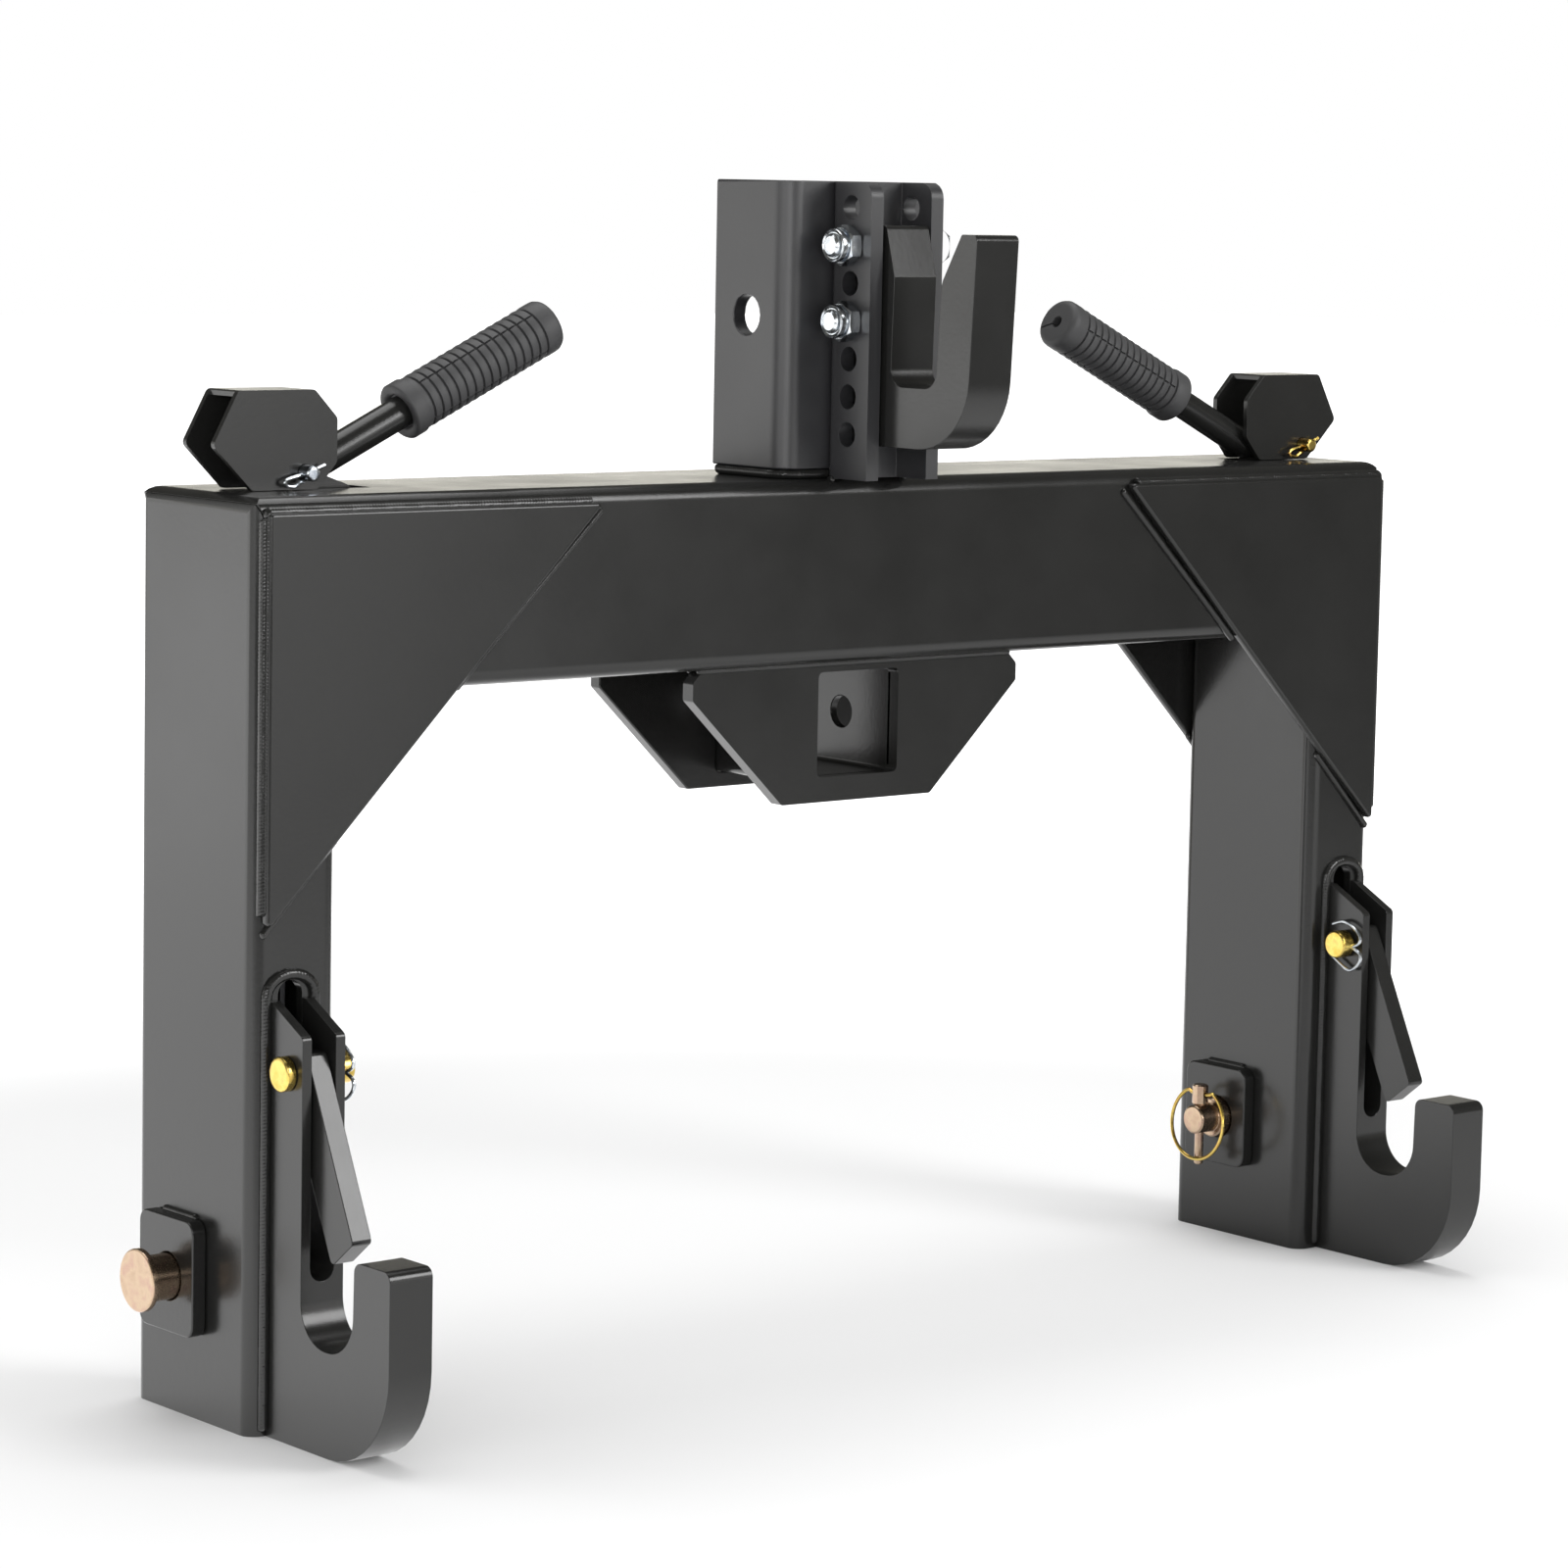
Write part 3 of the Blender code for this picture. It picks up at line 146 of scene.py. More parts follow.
def makeStudio(settings):
    bpy.ops.mesh.primitive_plane_add(size=settings["floorSize"])
    floor = bpy.context.object
    floor.name = "paperFloor"
    paper = bpy.data.materials.new("whitePaper")
    paper.use_nodes = True
    tree = paper.node_tree
    tree.nodes.clear()
    rays = addNode(tree, "ShaderNodeLightPath")
    seen = addNode(tree, "ShaderNodeMath", {"operation": "MAXIMUM"},
                   {0: rays.outputs["Is Camera Ray"], 1: rays.outputs["Is Transmission Ray"]})
    spot = addNode(tree, "ShaderNodeTexCoord").outputs["Object"]
    far = addNode(tree, "ShaderNodeVectorMath", {"operation": "LENGTH"}, {0: spot})
    fade = addNode(tree, "ShaderNodeMapRange", {"interpolation_type": "SMOOTHSTEP"},
                   {"Value": far.outputs["Value"],
                    "From Min": settings["floorFade"][0], "From Max": settings["floorFade"][1],
                    "To Min": settings["floorLift"][0], "To Max": settings["floorLift"][1]})
    behind = addNode(tree, "ShaderNodeVectorMath", {"operation": "DOT_PRODUCT"},
                     {0: spot, 1: settings["glossWay"]})
    behind = addNode(tree, "ShaderNodeMapRange", {"interpolation_type": "SMOOTHSTEP"},
                     {"Value": behind.outputs["Value"],
                      "From Min": settings["glossSpan"][0], "From Max": settings["glossSpan"][1],
                      "To Min": 0.0, "To Max": settings["floorGloss"]})
    lift = addNode(tree, "ShaderNodeMath", {"operation": "MULTIPLY"},
                   {0: seen.outputs[0], 1: fade.outputs[0]})
    lift = addNode(tree, "ShaderNodeMath", {"operation": "MULTIPLY_ADD"},
                   {0: rays.outputs["Is Glossy Ray"], 1: behind.outputs[0], 2: lift.outputs[0]})
    ahead = addNode(tree, "ShaderNodeVectorMath", {"operation": "DOT_PRODUCT"},
                    {0: spot, 1: settings["dimWay"]})
    ahead = addNode(tree, "ShaderNodeMapRange", {"interpolation_type": "SMOOTHSTEP"},
                    {"Value": ahead.outputs["Value"],
                     "From Min": settings["dimSpan"][0], "From Max": settings["dimSpan"][1]})
    ahead = addNode(tree, "ShaderNodeMath", {"operation": "MULTIPLY"},
                    {0: rays.outputs["Is Glossy Ray"], 1: ahead.outputs[0]})
    tone = addNode(tree, "ShaderNodeMix", {"data_type": "RGBA"},
                   {0: ahead.outputs[0],
                    6: toLinear(settings["floorColour"]), 7: toLinear(settings["floorDim"])})
    matt = addNode(tree, "ShaderNodeBsdfDiffuse", None, {"Color": tone.outputs[2]})
    glow = addNode(tree, "ShaderNodeEmission", None, {"Strength": lift.outputs[0]})
    both = addNode(tree, "ShaderNodeAddShader", None, {0: matt.outputs[0], 1: glow.outputs[0]})
    addNode(tree, "ShaderNodeOutputMaterial", None, {"Surface": both.outputs[0]})
    floor.data.materials.append(paper)

    world = bpy.data.worlds.new("whiteRoom")
    bpy.context.scene.world = world
    world.use_nodes = True
    tree = world.node_tree
    tree.nodes.clear()
    rays = addNode(tree, "ShaderNodeLightPath")
    direct = addNode(tree, "ShaderNodeMath", {"operation": "MAXIMUM"},
                     {0: rays.outputs["Is Camera Ray"], 1: rays.outputs["Is Transmission Ray"]})
    heading = addNode(tree, "ShaderNodeTexCoord").outputs["Generated"]
    heading = addNode(tree, "ShaderNodeSeparateXYZ", None, {0: heading})
    rear = addNode(tree, "ShaderNodeMapRange", {"interpolation_type": "SMOOTHSTEP"},
                   {"Value": heading.outputs["X"],
                    "From Min": settings["leftToRight"][0], "From Max": settings["leftToRight"][1],
                    "To Min": settings["mirrored"][1], "To Max": settings["mirrored"][2]})
    mirrored = addNode(tree, "ShaderNodeMapRange", {"interpolation_type": "SMOOTHSTEP"},
                       {"Value": heading.outputs["Y"],
                        "From Min": settings["frontToBack"][0], "From Max": settings["frontToBack"][1],
                        "To Min": settings["mirrored"][0], "To Max": rear.outputs[0]})
    walled = addNode(tree, "ShaderNodeMapRange", {"interpolation_type": "SMOOTHSTEP"},
                     {"Value": heading.outputs["Z"],
                      "From Min": settings["wallTop"][0], "From Max": settings["wallTop"][1],
                      "To Min": mirrored.outputs[0], "To Max": settings["ceiling"]})
    dim = addNode(tree, "ShaderNodeMapRange", None,
                  {"Value": rays.outputs["Is Glossy Ray"], "To Min": settings["ambient"],
                   "To Max": walled.outputs[0]})
    level = addNode(tree, "ShaderNodeMapRange", None,
                    {"Value": direct.outputs[0], "To Min": dim.outputs[0], "To Max": 1.0})
    warmth = addNode(tree, "ShaderNodeMix", {"data_type": "RGBA"},
                     {0: rays.outputs["Is Glossy Ray"],
                      6: toLinear("#ffffff"), 7: toLinear(settings["mirroredTint"])})
    back = addNode(tree, "ShaderNodeBackground", None,
                   {"Color": warmth.outputs[2], "Strength": level.outputs[0]})
    addNode(tree, "ShaderNodeOutputWorld", None, {"Surface": back.outputs[0]})

    for name, (place, target, width, height, watts) in settings["lamps"].items():
        bpy.ops.object.light_add(type="AREA", location=place, rotation=aimed(place, target))
        lamp = bpy.context.object
        lamp.name = name
        lamp.data.shape = "RECTANGLE"
        lamp.data.size = width
        lamp.data.size_y = height
        lamp.data.energy = watts

    felt = bpy.data.materials.new("blackFelt")
    felt.use_nodes = True
    shader = felt.node_tree.nodes["Principled BSDF"]
    shader.inputs["Base Color"].default_value = toLinear("#101010")
    shader.inputs["Roughness"].default_value = 1.0
    for name, (place, target, width, height) in settings["flags"].items():
        bpy.ops.mesh.primitive_plane_add(size=1, location=place, rotation=aimed(place, target))
        flag = bpy.context.object
        flag.name = name
        flag.scale = (width, height, 1)
        flag.visible_camera = False
        flag.visible_diffuse = False
        flag.visible_shadow = False
        flag.data.materials.append(felt)


bpy.context.scene.view_settings.view_transform = "Standard"
makeCamera(cameraSettings)
makeStudio(studio)
print("camera and studio ready")


# Materials. Lengths in patterns are millimetres of the real surface.

def patternScale(millimetres):
    return 1000 / millimetres


def newMaterial(name):
    material = bpy.data.materials.new(name)
    material.use_nodes = True
    return material, material.node_tree, material.node_tree.nodes["Principled BSDF"]


powderCoat = {
    "colour": "#191918",
    "fadedColour": "#20201f",  # thinner coat, where it reads a little greyer
    "specular": 0.52,
    "roughness": (0.20, 0.27),
    "peelWidth": 2.2,  # mm across one bump of the orange peel
    "peelDepth": 0.035,
    "cloudWidth": 60,
    "grainWidth": 0.9,
    "grainShare": 0.25,  # how much the grain adds to the clouds in the roughness
    "sheenSpan": (0.35, 0.9),
}


def satinPowderCoat(name, settings):
    # powder coated steel: baked polyester, so a broad satin sheen over a faint orange peel
    material, tree, shader = newMaterial(name)
    spot = addNode(tree, "ShaderNodeTexCoord").outputs["Object"]
    clouds = addNode(tree, "ShaderNodeTexNoise", None,
                     {"Vector": spot, "Scale": patternScale(settings["cloudWidth"]),
                      "Detail": 4.0, "Roughness": 0.6})
    peel = addNode(tree, "ShaderNodeTexNoise", None,
                   {"Vector": spot, "Scale": patternScale(settings["peelWidth"]),
                    "Detail": 2.0, "Roughness": 0.5})
    grain = addNode(tree, "ShaderNodeTexNoise", None,
                    {"Vector": spot, "Scale": patternScale(settings["grainWidth"]), "Detail": 1.0})
    tone = addNode(tree, "ShaderNodeMix", {"data_type": "RGBA"},
                   {0: clouds.outputs["Fac"],
                    6: toLinear(settings["colour"]), 7: toLinear(settings["fadedColour"])})
    mixed = addNode(tree, "ShaderNodeMath", {"operation": "MULTIPLY_ADD"},
                    {0: grain.outputs["Fac"], 1: settings["grainShare"], 2: clouds.outputs["Fac"]})
    sheen = addNode(tree, "ShaderNodeMapRange", None,
                    {"Value": mixed.outputs[0],
                     "From Min": settings["sheenSpan"][0], "From Max": settings["sheenSpan"][1],
                     "To Min": settings["roughness"][0], "To Max": settings["roughness"][1]})
    bumps = addNode(tree, "ShaderNodeBump", None,
                    {"Height": peel.outputs["Fac"], "Strength": settings["peelDepth"], "Distance": 0.001})
    tree.links.new(tone.outputs[2], shader.inputs["Base Color"])
    tree.links.new(sheen.outputs[0], shader.inputs["Roughness"])
    tree.links.new(bumps.outputs[0], shader.inputs["Normal"])
    shader.inputs["Specular IOR Level"].default_value = settings["specular"]
    return material


# the mast gets a lighter, greyer copy of the frame's coat with a wider sheen: painted light, for the
# brighter light the mast catches
mastCoatPaintedLight = dict(powderCoat, colour="#28282a", fadedColour="#2e2e30", roughness=(0.36, 0.43), specular=0.72)


rubber = {
    "colour": "#343435",
    "dustyColour": "#444445",
    "roughness": 0.56,
    "specular": 0.45,
    "dustWidth": 18,
    "pebbleWidth": 0.7,
    "pebbleDepth": 0.12,
}


def mouldedRubber(settings):
    # moulded nitrile rubber: matt, a little dusty, with a fine pebble from the tool
    material, tree, shader = newMaterial("mouldedNitrileRubber")
    spot = addNode(tree, "ShaderNodeTexCoord").outputs["Object"]
    dust = addNode(tree, "ShaderNodeTexNoise", None,
                   {"Vector": spot, "Scale": patternScale(settings["dustWidth"]), "Detail": 5.0})
    pebble = addNode(tree, "ShaderNodeTexVoronoi", None,
                     {"Vector": spot, "Scale": patternScale(settings["pebbleWidth"])})
    tone = addNode(tree, "ShaderNodeMix", {"data_type": "RGBA"},
                   {0: dust.outputs["Fac"],
                    6: toLinear(settings["colour"]), 7: toLinear(settings["dustyColour"])})
    bumps = addNode(tree, "ShaderNodeBump", None,
                    {"Height": pebble.outputs["Distance"], "Strength": settings["pebbleDepth"],
                     "Distance": 0.0004})
    tree.links.new(tone.outputs[2], shader.inputs["Base Color"])
    tree.links.new(bumps.outputs[0], shader.inputs["Normal"])
    shader.inputs["Roughness"].default_value = settings["roughness"]
    shader.inputs["Specular IOR Level"].default_value = settings["specular"]
    return material


platings = {
    # colours across the film, roughness, and the spacing of the lathe marks in mm
    "bronze_zinc": (("#aa917b", "#b39d85", "#aa8b7c"), 0.24, 0.5),
    "yellow_zinc": (("#c9a850", "#d6bd6a", "#cc9e58"), 0.24, 0.5),
    "bright_zinc": (("#b9bec4", "#d3d7da", "#a9b0ba"), 0.22, 0.6),
    "spring_steel": (("#3a3a3c", "#4c4c4e", "#2f2f31"), 0.38, 0.4),
}


film = {
    "driftWidth": 7,  # mm over which the tint drifts
    "stops": (0.30, 0.5, 0.72),
    "roughnessSpread": (-0.07, 0.09),
    "markDepth": 0.06,
}


def platedSteel(name, colours, roughness, markSpacing, settings):
    # zinc plated steel with a chromate film: metal under a thin film whose tint drifts
    # the dark film on plain spring steel drifts the same way
    material, tree, shader = newMaterial(name)
    spot = addNode(tree, "ShaderNodeTexCoord").outputs["Object"]
    drift = addNode(tree, "ShaderNodeTexNoise", None,
                    {"Vector": spot, "Scale": patternScale(settings["driftWidth"]), "Detail": 3.0})
    tint = addNode(tree, "ShaderNodeValToRGB", None, {"Fac": drift.outputs["Fac"]})
    stops = tint.color_ramp.elements
    stops[0].position, stops[0].color = settings["stops"][0], toLinear(colours[0])
    stops[1].position, stops[1].color = settings["stops"][2], toLinear(colours[2])
    stops.new(settings["stops"][1]).color = toLinear(colours[1])
    marks = addNode(tree, "ShaderNodeTexNoise", None,
                    {"Vector": spot, "Scale": patternScale(markSpacing), "Detail": 2.0})
    gloss = addNode(tree, "ShaderNodeMapRange", None,
                    {"Value": marks.outputs["Fac"],
                     "To Min": roughness + settings["roughnessSpread"][0],
                     "To Max": roughness + settings["roughnessSpread"][1]})
    bumps = addNode(tree, "ShaderNodeBump", None,
                    {"Height": marks.outputs["Fac"], "Strength": settings["markDepth"], "Distance": 0.0005})
    tree.links.new(tint.outputs["Color"], shader.inputs["Base Color"])
    tree.links.new(gloss.outputs[0], shader.inputs["Roughness"])
    tree.links.new(bumps.outputs[0], shader.inputs["Normal"])
    shader.inputs["Metallic"].default_value = 1.0
    return material


finishes = {
    "satin_black_paint": satinPowderCoat("satinPowderCoatedSteel", powderCoat),
    # the mast's coat is lighter than the frame's: painted light
    "mast_coat_painted_light": satinPowderCoat("paintedLightPowderCoatedSteel", mastCoatPaintedLight),
    "black_rubber": mouldedRubber(rubber),
}
for slotName, (filmColours, filmRoughness, lathePitch) in platings.items():
    finishes[slotName] = platedSteel(slotName.replace("_", " ").title().replace(" ", "") + "Plate",
                                     filmColours, filmRoughness, lathePitch, film)
print("materials ready:", ", ".join(finishes))


# Pieces made from the frame's own nodes, with their edges broken as a grinder and the coat leave them

slotOfNode = {row["node"]: row["material_slot"] for row in frame["record"]["subparts"]}
bodyOfNode = {node: body for body, nodes in frame["record"]["behaviour"]["bodies"].items() for node in nodes}


def pick(piece):
    bpy.ops.object.select_all(action="DESELECT")
    piece.select_set(True)
    bpy.context.view_layer.objects.active = piece


def finishPiece(piece, name, slotName, body, replaced=(), smoothAngle=35):
    piece.name = name
    piece.data.name = name
    pick(piece)
    bpy.ops.object.transform_apply(location=True, rotation=True, scale=True)
    bpy.ops.object.shade_smooth_by_angle(angle=radians(smoothAngle))
    piece.data.materials.clear()
    piece.data.materials.append(finishes[slotName])
    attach(piece, body)
    if replaced:
        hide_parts(*replaced)
    addModifier(piece, "WEIGHTED_NORMAL", weight=100, keep_sharp=True)
    return piece


def copyOfNode(node):
    piece = frame["nodes"][node].copy()
    piece.data = piece.data.copy()
    for key in list(piece.keys()):
        del piece[key]
    piece.parent = None
    piece.hide_render = False
    bpy.context.scene.collection.objects.link(piece)
    pick(piece)
    bpy.ops.object.mode_set(mode="EDIT")
    bpy.ops.mesh.select_all(action="SELECT")
    bpy.ops.mesh.remove_doubles(threshold=0.00002)
    bpy.ops.mesh.dissolve_limited(angle_limit=radians(1))
    bpy.ops.object.mode_set(mode="OBJECT")
    return piece


def addModifier(piece, kind, **settings):
    modifier = piece.modifiers.new(kind.lower(), kind)
    for name, value in settings.items():
        setattr(modifier, name, value)
    pick(piece)
    bpy.ops.object.modifier_apply(modifier=modifier.name)


edgeRadius = {  # mm
    "cross_beam": 0.7, "leg": 0.9, "gusset_front": 1.8, "gusset_rear": 1.8, "lower_hook": 1.2, "latch": 0.8,
    "doubler_outer": 1.8, "doubler_inner": 1.8, "lever_bracket": 0.6, "mast_front_channel": 0.8,
    "mast_rear_channel": 0.8, "top_hook": 1.2, "receiver_plate": 0.9, "receiver_tube": 0.5,
    "hook_washer": 0.3, "lever_bar": 0.3, "rod_guide": 0.3,
}


def cutAway(piece, cutter, operation="DIFFERENCE"):
    addModifier(piece, "BOOLEAN", operation=operation, object=cutter, solver="EXACT")
    bpy.data.objects.remove(cutter, do_unlink=True)


def boxPiece(low, high, heading=None):
    # a plain block, only ever used as a cutter or a filler
    bpy.ops.object.select_all(action="DESELECT")
    middle = (Vector(low) + Vector(high)) / 2
    bpy.ops.mesh.primitive_cube_add(size=1, location=middle)
    piece = bpy.context.object
    piece.scale = Vector(high) - Vector(low)
    bpy.ops.object.transform_apply(location=True, rotation=True, scale=True)
    if heading is not None:
        piece.matrix_world = heading
    return piece


cutMargin = 0.01  # metres that a cutter reaches past what it cuts
receiver = {"opening": 54.0, "cornerRadius": 3.0, "overlap": 3.0}  # mm


def coverTube(piece, settings):
    # the photo shows one flush face round the opening, so the plate is carried over the tube's end
    low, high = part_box("receiver_plate_front")
    tubeLow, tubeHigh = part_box("receiver_tube")
    middle = (tubeLow + tubeHigh) / 2
    if piece.name.startswith("receiver_tube"):
        cutAway(piece, boxPiece((tubeLow.x - cutMargin, low.y - cutMargin, tubeLow.z - cutMargin),
                                (tubeHigh.x + cutMargin, high.y - 0.002, tubeHigh.z + cutMargin)))
        return
    grow, half = settings["overlap"] / 1000, settings["opening"] / 2000
    cover = boxPiece((tubeLow.x - grow, low.y, tubeLow.z - grow),
                     (tubeHigh.x + grow, high.y, min(tubeHigh.z + grow, high.z)))
    cutAway(piece, cover, "UNION")
    opening = boxPiece((-half, low.y - cutMargin, middle.z - half),
                       (half, high.y + cutMargin, middle.z + half))
    addModifier(opening, "BEVEL", width=settings["cornerRadius"] / 1000, segments=4)
    cutAway(piece, opening)


rearGussetInset = 5.5  # mm cut off the rear gussets' outer edges, which the photo doesn't show past the legs


def trimRearGusset(piece, node):
    low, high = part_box(node)
    inset = Vector((rearGussetInset / 1000, 0, 0))
    margin = Vector((cutMargin, cutMargin, cutMargin))
    overEdge = Vector((0, cutMargin, cutMargin))
    if node.endswith("left"):
        cutter = boxPiece(low - margin, Vector((low.x, high.y, high.z)) + inset + overEdge)
    else:
        cutter = boxPiece(Vector((high.x, low.y, low.z)) - inset - overEdge, high + margin)
    cutAway(piece, cutter)


def breakEdges(node, radius):
    piece = copyOfNode(node)
    if node in ("receiver_plate_front", "receiver_tube"):
        coverTube(piece, receiver)
    if node.startswith("gusset_rear"):
        trimRearGusset(piece, node)
    addModifier(piece, "BEVEL", width=radius / 1000, segments=3, limit_method="ANGLE",
                angle_limit=radians(32), miter_outer="MITER_ARC", use_clamp_overlap=True)
    piece = finishPiece(piece, node + "_body", slotOfNode[node], bodyOfNode[node], [node])
    # the mast's pieces take the lighter coat: painted light on the mast
    if node.startswith("mast_"):
        piece.data.materials[0] = finishes["mast_coat_painted_light"]


for nodeName, nodeObject in frame["nodes"].items():
    nodeObject.data.materials.clear()
    nodeObject.data.materials.append(finishes[slotOfNode[nodeName]])
    radii = [radius for family, radius in edgeRadius.items() if (nodeName + "_").startswith(family + "_")]
    if nodeName.startswith("latch_") and nodeName not in ("latch_left", "latch_right"):
        radii = []
    if radii:
        breakEdges(nodeName, radii[0])
print("edges broken")


# New pieces: turned, bent from wire, moulded and welded. Lengths in their settings are millimetres.

def middleOf(node):
    low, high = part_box(node)
    return (low + high) / 2


def mendNormals(piece):
    pick(piece)
    bpy.ops.object.mode_set(mode="EDIT")
    bpy.ops.mesh.select_all(action="SELECT")
    bpy.ops.mesh.remove_doubles(threshold=0.00001)
    bpy.ops.mesh.normals_make_consistent(inside=False)
    bpy.ops.object.mode_set(mode="OBJECT")


def turnedPiece(profile, place, heading, vertices=64):
    # a disc pushed along its axis and resized step by step; profile holds (along the axis, radius)
    bpy.ops.object.select_all(action="DESELECT")
    bpy.ops.mesh.primitive_circle_add(vertices=vertices, radius=profile[0][1] / 1000, fill_type="NGON",
                                      location=(0, 0, profile[0][0] / 1000))
    piece = bpy.context.object
    bpy.ops.object.transform_apply(location=True, rotation=True, scale=True)
    bpy.ops.object.mode_set(mode="EDIT")
    bpy.ops.mesh.select_all(action="SELECT")
    for (at, radius), (nextAt, nextRadius) in zip(profile, profile[1:]):
        growth = nextRadius / radius
        bpy.ops.mesh.extrude_region_move(TRANSFORM_OT_translate={"value": (0, 0, (nextAt - at) / 1000)})
        bpy.ops.transform.resize(value=(growth, growth, 1), center_override=(0, 0, nextAt / 1000))
    bpy.ops.object.mode_set(mode="OBJECT")
    mendNormals(piece)
    turn = Vector((0, 0, 1)).rotation_difference(Vector(heading)).to_matrix().to_4x4()
    piece.matrix_world = Matrix.Translation(place) @ turn
    return piece


def lineOf(points, order=3):
    bpy.ops.object.select_all(action="DESELECT")
    bpy.ops.curve.primitive_nurbs_path_add(location=(0, 0, 0))
    piece = bpy.context.object
    piece.data.splines.clear()
    line = piece.data.splines.new("NURBS")
    line.points.add(len(points) - 1)
    for spot, point in zip(points, line.points):
        point.co = (*spot, 1)
    line.order_u = order
    line.use_endpoint_u = True
    line.resolution_u = 8
    return piece


def wirePiece(points, thickness):
    # round wire bent through points in metres
    piece = lineOf(points)
    piece.data.bevel_depth = thickness / 2000
    piece.data.bevel_resolution = 3
    piece.data.use_fill_caps = True
    pick(piece)
    bpy.ops.object.convert(target="MESH")
    mendNormals(piece)
    return piece


linkPins = {"headRadius": 15.2, "headDepth": 3.5, "shankRadius": 11.1, "neckRadius": 8.0, "neckLength": 13.0,
            "chamfer": 0.9, "latheGroove": 0.25, "ease": 0.4}


def makeLinkPin(name, side, settings):
    node = "link_pin_" + name
    low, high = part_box(node)
    middle = middleOf(node)
    length = (high.x - low.x) * 1000
    head, shank, neck = settings["headRadius"], settings["shankRadius"], settings["neckRadius"]
    depth, ease = settings["headDepth"], settings["ease"]
    chamfer, groove = settings["chamfer"], settings["latheGroove"]
    neckAt = length - settings["neckLength"]
    profile = [(0, head * 0.3), (groove * 0.5, head * 0.62), (0, head * 0.9), (0, head - chamfer),
               (chamfer * 0.4, head - 0.25), (chamfer, head), (depth - ease, head), (depth, head - ease),
               (depth, shank + 0.5), (depth + 0.5, shank), (neckAt - chamfer, shank),
               (neckAt, shank - chamfer), (neckAt, neck + ease), (neckAt + ease, neck),
               (length - chamfer, neck), (length - 0.2, neck - chamfer * 0.7),
               (length, neck - chamfer * 1.3), (length, neck * 0.5)]
    start = high.x if side > 0 else low.x
    pin = turnedPiece(profile, (start, middle.y, middle.z), (-side, 0, 0))
    finishPiece(pin, node + "_turned", "bronze_zinc", bodyOfNode[node], [node])


linchPins = {"wire": 2.1, "bends": 40, "headHeight": 11.5, "openHalf": 6.0}


def makeLinchRing(name, settings):
    # the spring ring: its two ends turn into the cross hole of the linch pin's head
    node = "linch_ring_" + name
    low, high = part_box(node)
    middle = middleOf(node)
    pivot = middleOf("linch_pin_" + name)
    pivot.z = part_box("linch_pin_" + name)[1].z - settings["headHeight"] / 2000
    radius = (high.y - low.y) / 2 - settings["wire"] / 2000
    centreDrop = pivot.z - (low.z + settings["wire"] / 2000) - radius
    leanRun = (middle.x - pivot.x) / (middle.z - pivot.z)
    openHalf = settings["openHalf"] / 1000  # the ring stays open at its top, where its ends turn in
    points = [pivot + Vector((0, -0.001, 0)), pivot + Vector((0, -openHalf, 0))]
    for step in range(1, settings["bends"]):
        angle = 2 * pi * step / settings["bends"]
        if abs(radius * sin(angle)) > openHalf + 0.0005 or cos(angle) < 0:
            drop = radius * cos(angle) - centreDrop
            points.append(pivot + Vector((leanRun * drop, -radius * sin(angle), drop)))
    points += [pivot + Vector((0, openHalf, 0)), pivot + Vector((0, 0.001, 0))]
    finishPiece(wirePiece(points, settings["wire"]), node + "_bent", "yellow_zinc", bodyOfNode[node], [node])


latchPins = {
    "headRadius": 8.3, "headDepth": 5.0, "shankRadius": 5.0, "chamfer": 1.0,
    "endRadius": 7.6, "endDepth": 8.0,
    "longer": 0.6,  # than the solid is
    "clipWire": 1.9, "clipAlong": (0, 0, 1), "clipAcross": (0, -1, 0),
}


def makeHeadedPin(node, start, heading, length, slotName, settings):
    # a head, a shank and, where the settings give one, a thick collar on its far end
    head, shank, chamfer = settings["headRadius"], settings["shankRadius"], settings["chamfer"]
    depth, end = settings["headDepth"], settings.get("endRadius", shank)
    profile = [(0, head * 0.4), (0.12, head * 0.75), (0.25, head - chamfer), (chamfer * 0.8, head - 0.2),
               (chamfer * 1.2, head), (depth - 0.3, head), (depth, head - 0.3), (depth, shank + 0.4),
               (depth + 0.4, shank)]
    if end > shank:
        collarAt = length - settings["endDepth"]
        profile += [(collarAt, shank), (collarAt, end - 0.3), (collarAt + 0.3, end)]
    profile += [(length - chamfer, end), (length - chamfer * 0.35, end - chamfer * 0.45),
                (length, end - chamfer * 1.1), (length, end * 0.4)]
    pin = turnedPiece(profile, start, heading)
    finishPiece(pin, node + "_turned", slotName, bodyOfNode[node], [node])


leverPins = {
    "headRadius": 6.5, "headDepth": 3.0, "shankRadius": 3.8, "chamfer": 0.9,
    "clipWire": 1.8, "clipAlong": (0.92, 0, 0.39), "clipAcross": (0.39, 0, -0.92),
}
clipPaths = {  # mm along and across
    # two bows that meet in a notch against the pin
    "latch": [(10.4, -7.1), (12.1, -2.9), (12.9, 1.7), (10.9, 7.5), (7.5, 12.4), (4.3, 14.2), (1.4, 13.0),
              (-0.2, 8.6), (-0.8, 6.8), (-1.4, 8.6), (-3.0, 13.4), (-5.8, 15.0), (-9.3, 13.6), (-12.4, 10.4),
              (-14.6, 5.8), (-11.0, -1.5), (-6.4, -9.2)],
    # a leg through the pin and a short bowed one, with the bend at the lower left
    "lever": [(9.8, 0.2), (4.0, 0.0), (-2.4, -0.6), (-7.4, -1.5), (-11.6, -2.2), (-14.2, -1.8), (-14.0, 0.2),
              (-12.0, 1.5), (-10.2, 2.6), (-7.9, 2.5), (-5.6, 1.7), (-4.2, 2.8)],
}


def makeClip(node, place, path, slotName, settings):
    along, across = Vector(settings["clipAlong"]) / 1000, Vector(settings["clipAcross"]) / 1000
    points = [Vector(place) + along * a + across * b for a, b in path]
    finishPiece(wirePiece(points, settings["clipWire"]), node + "_bent", slotName, bodyOfNode[node], [node])


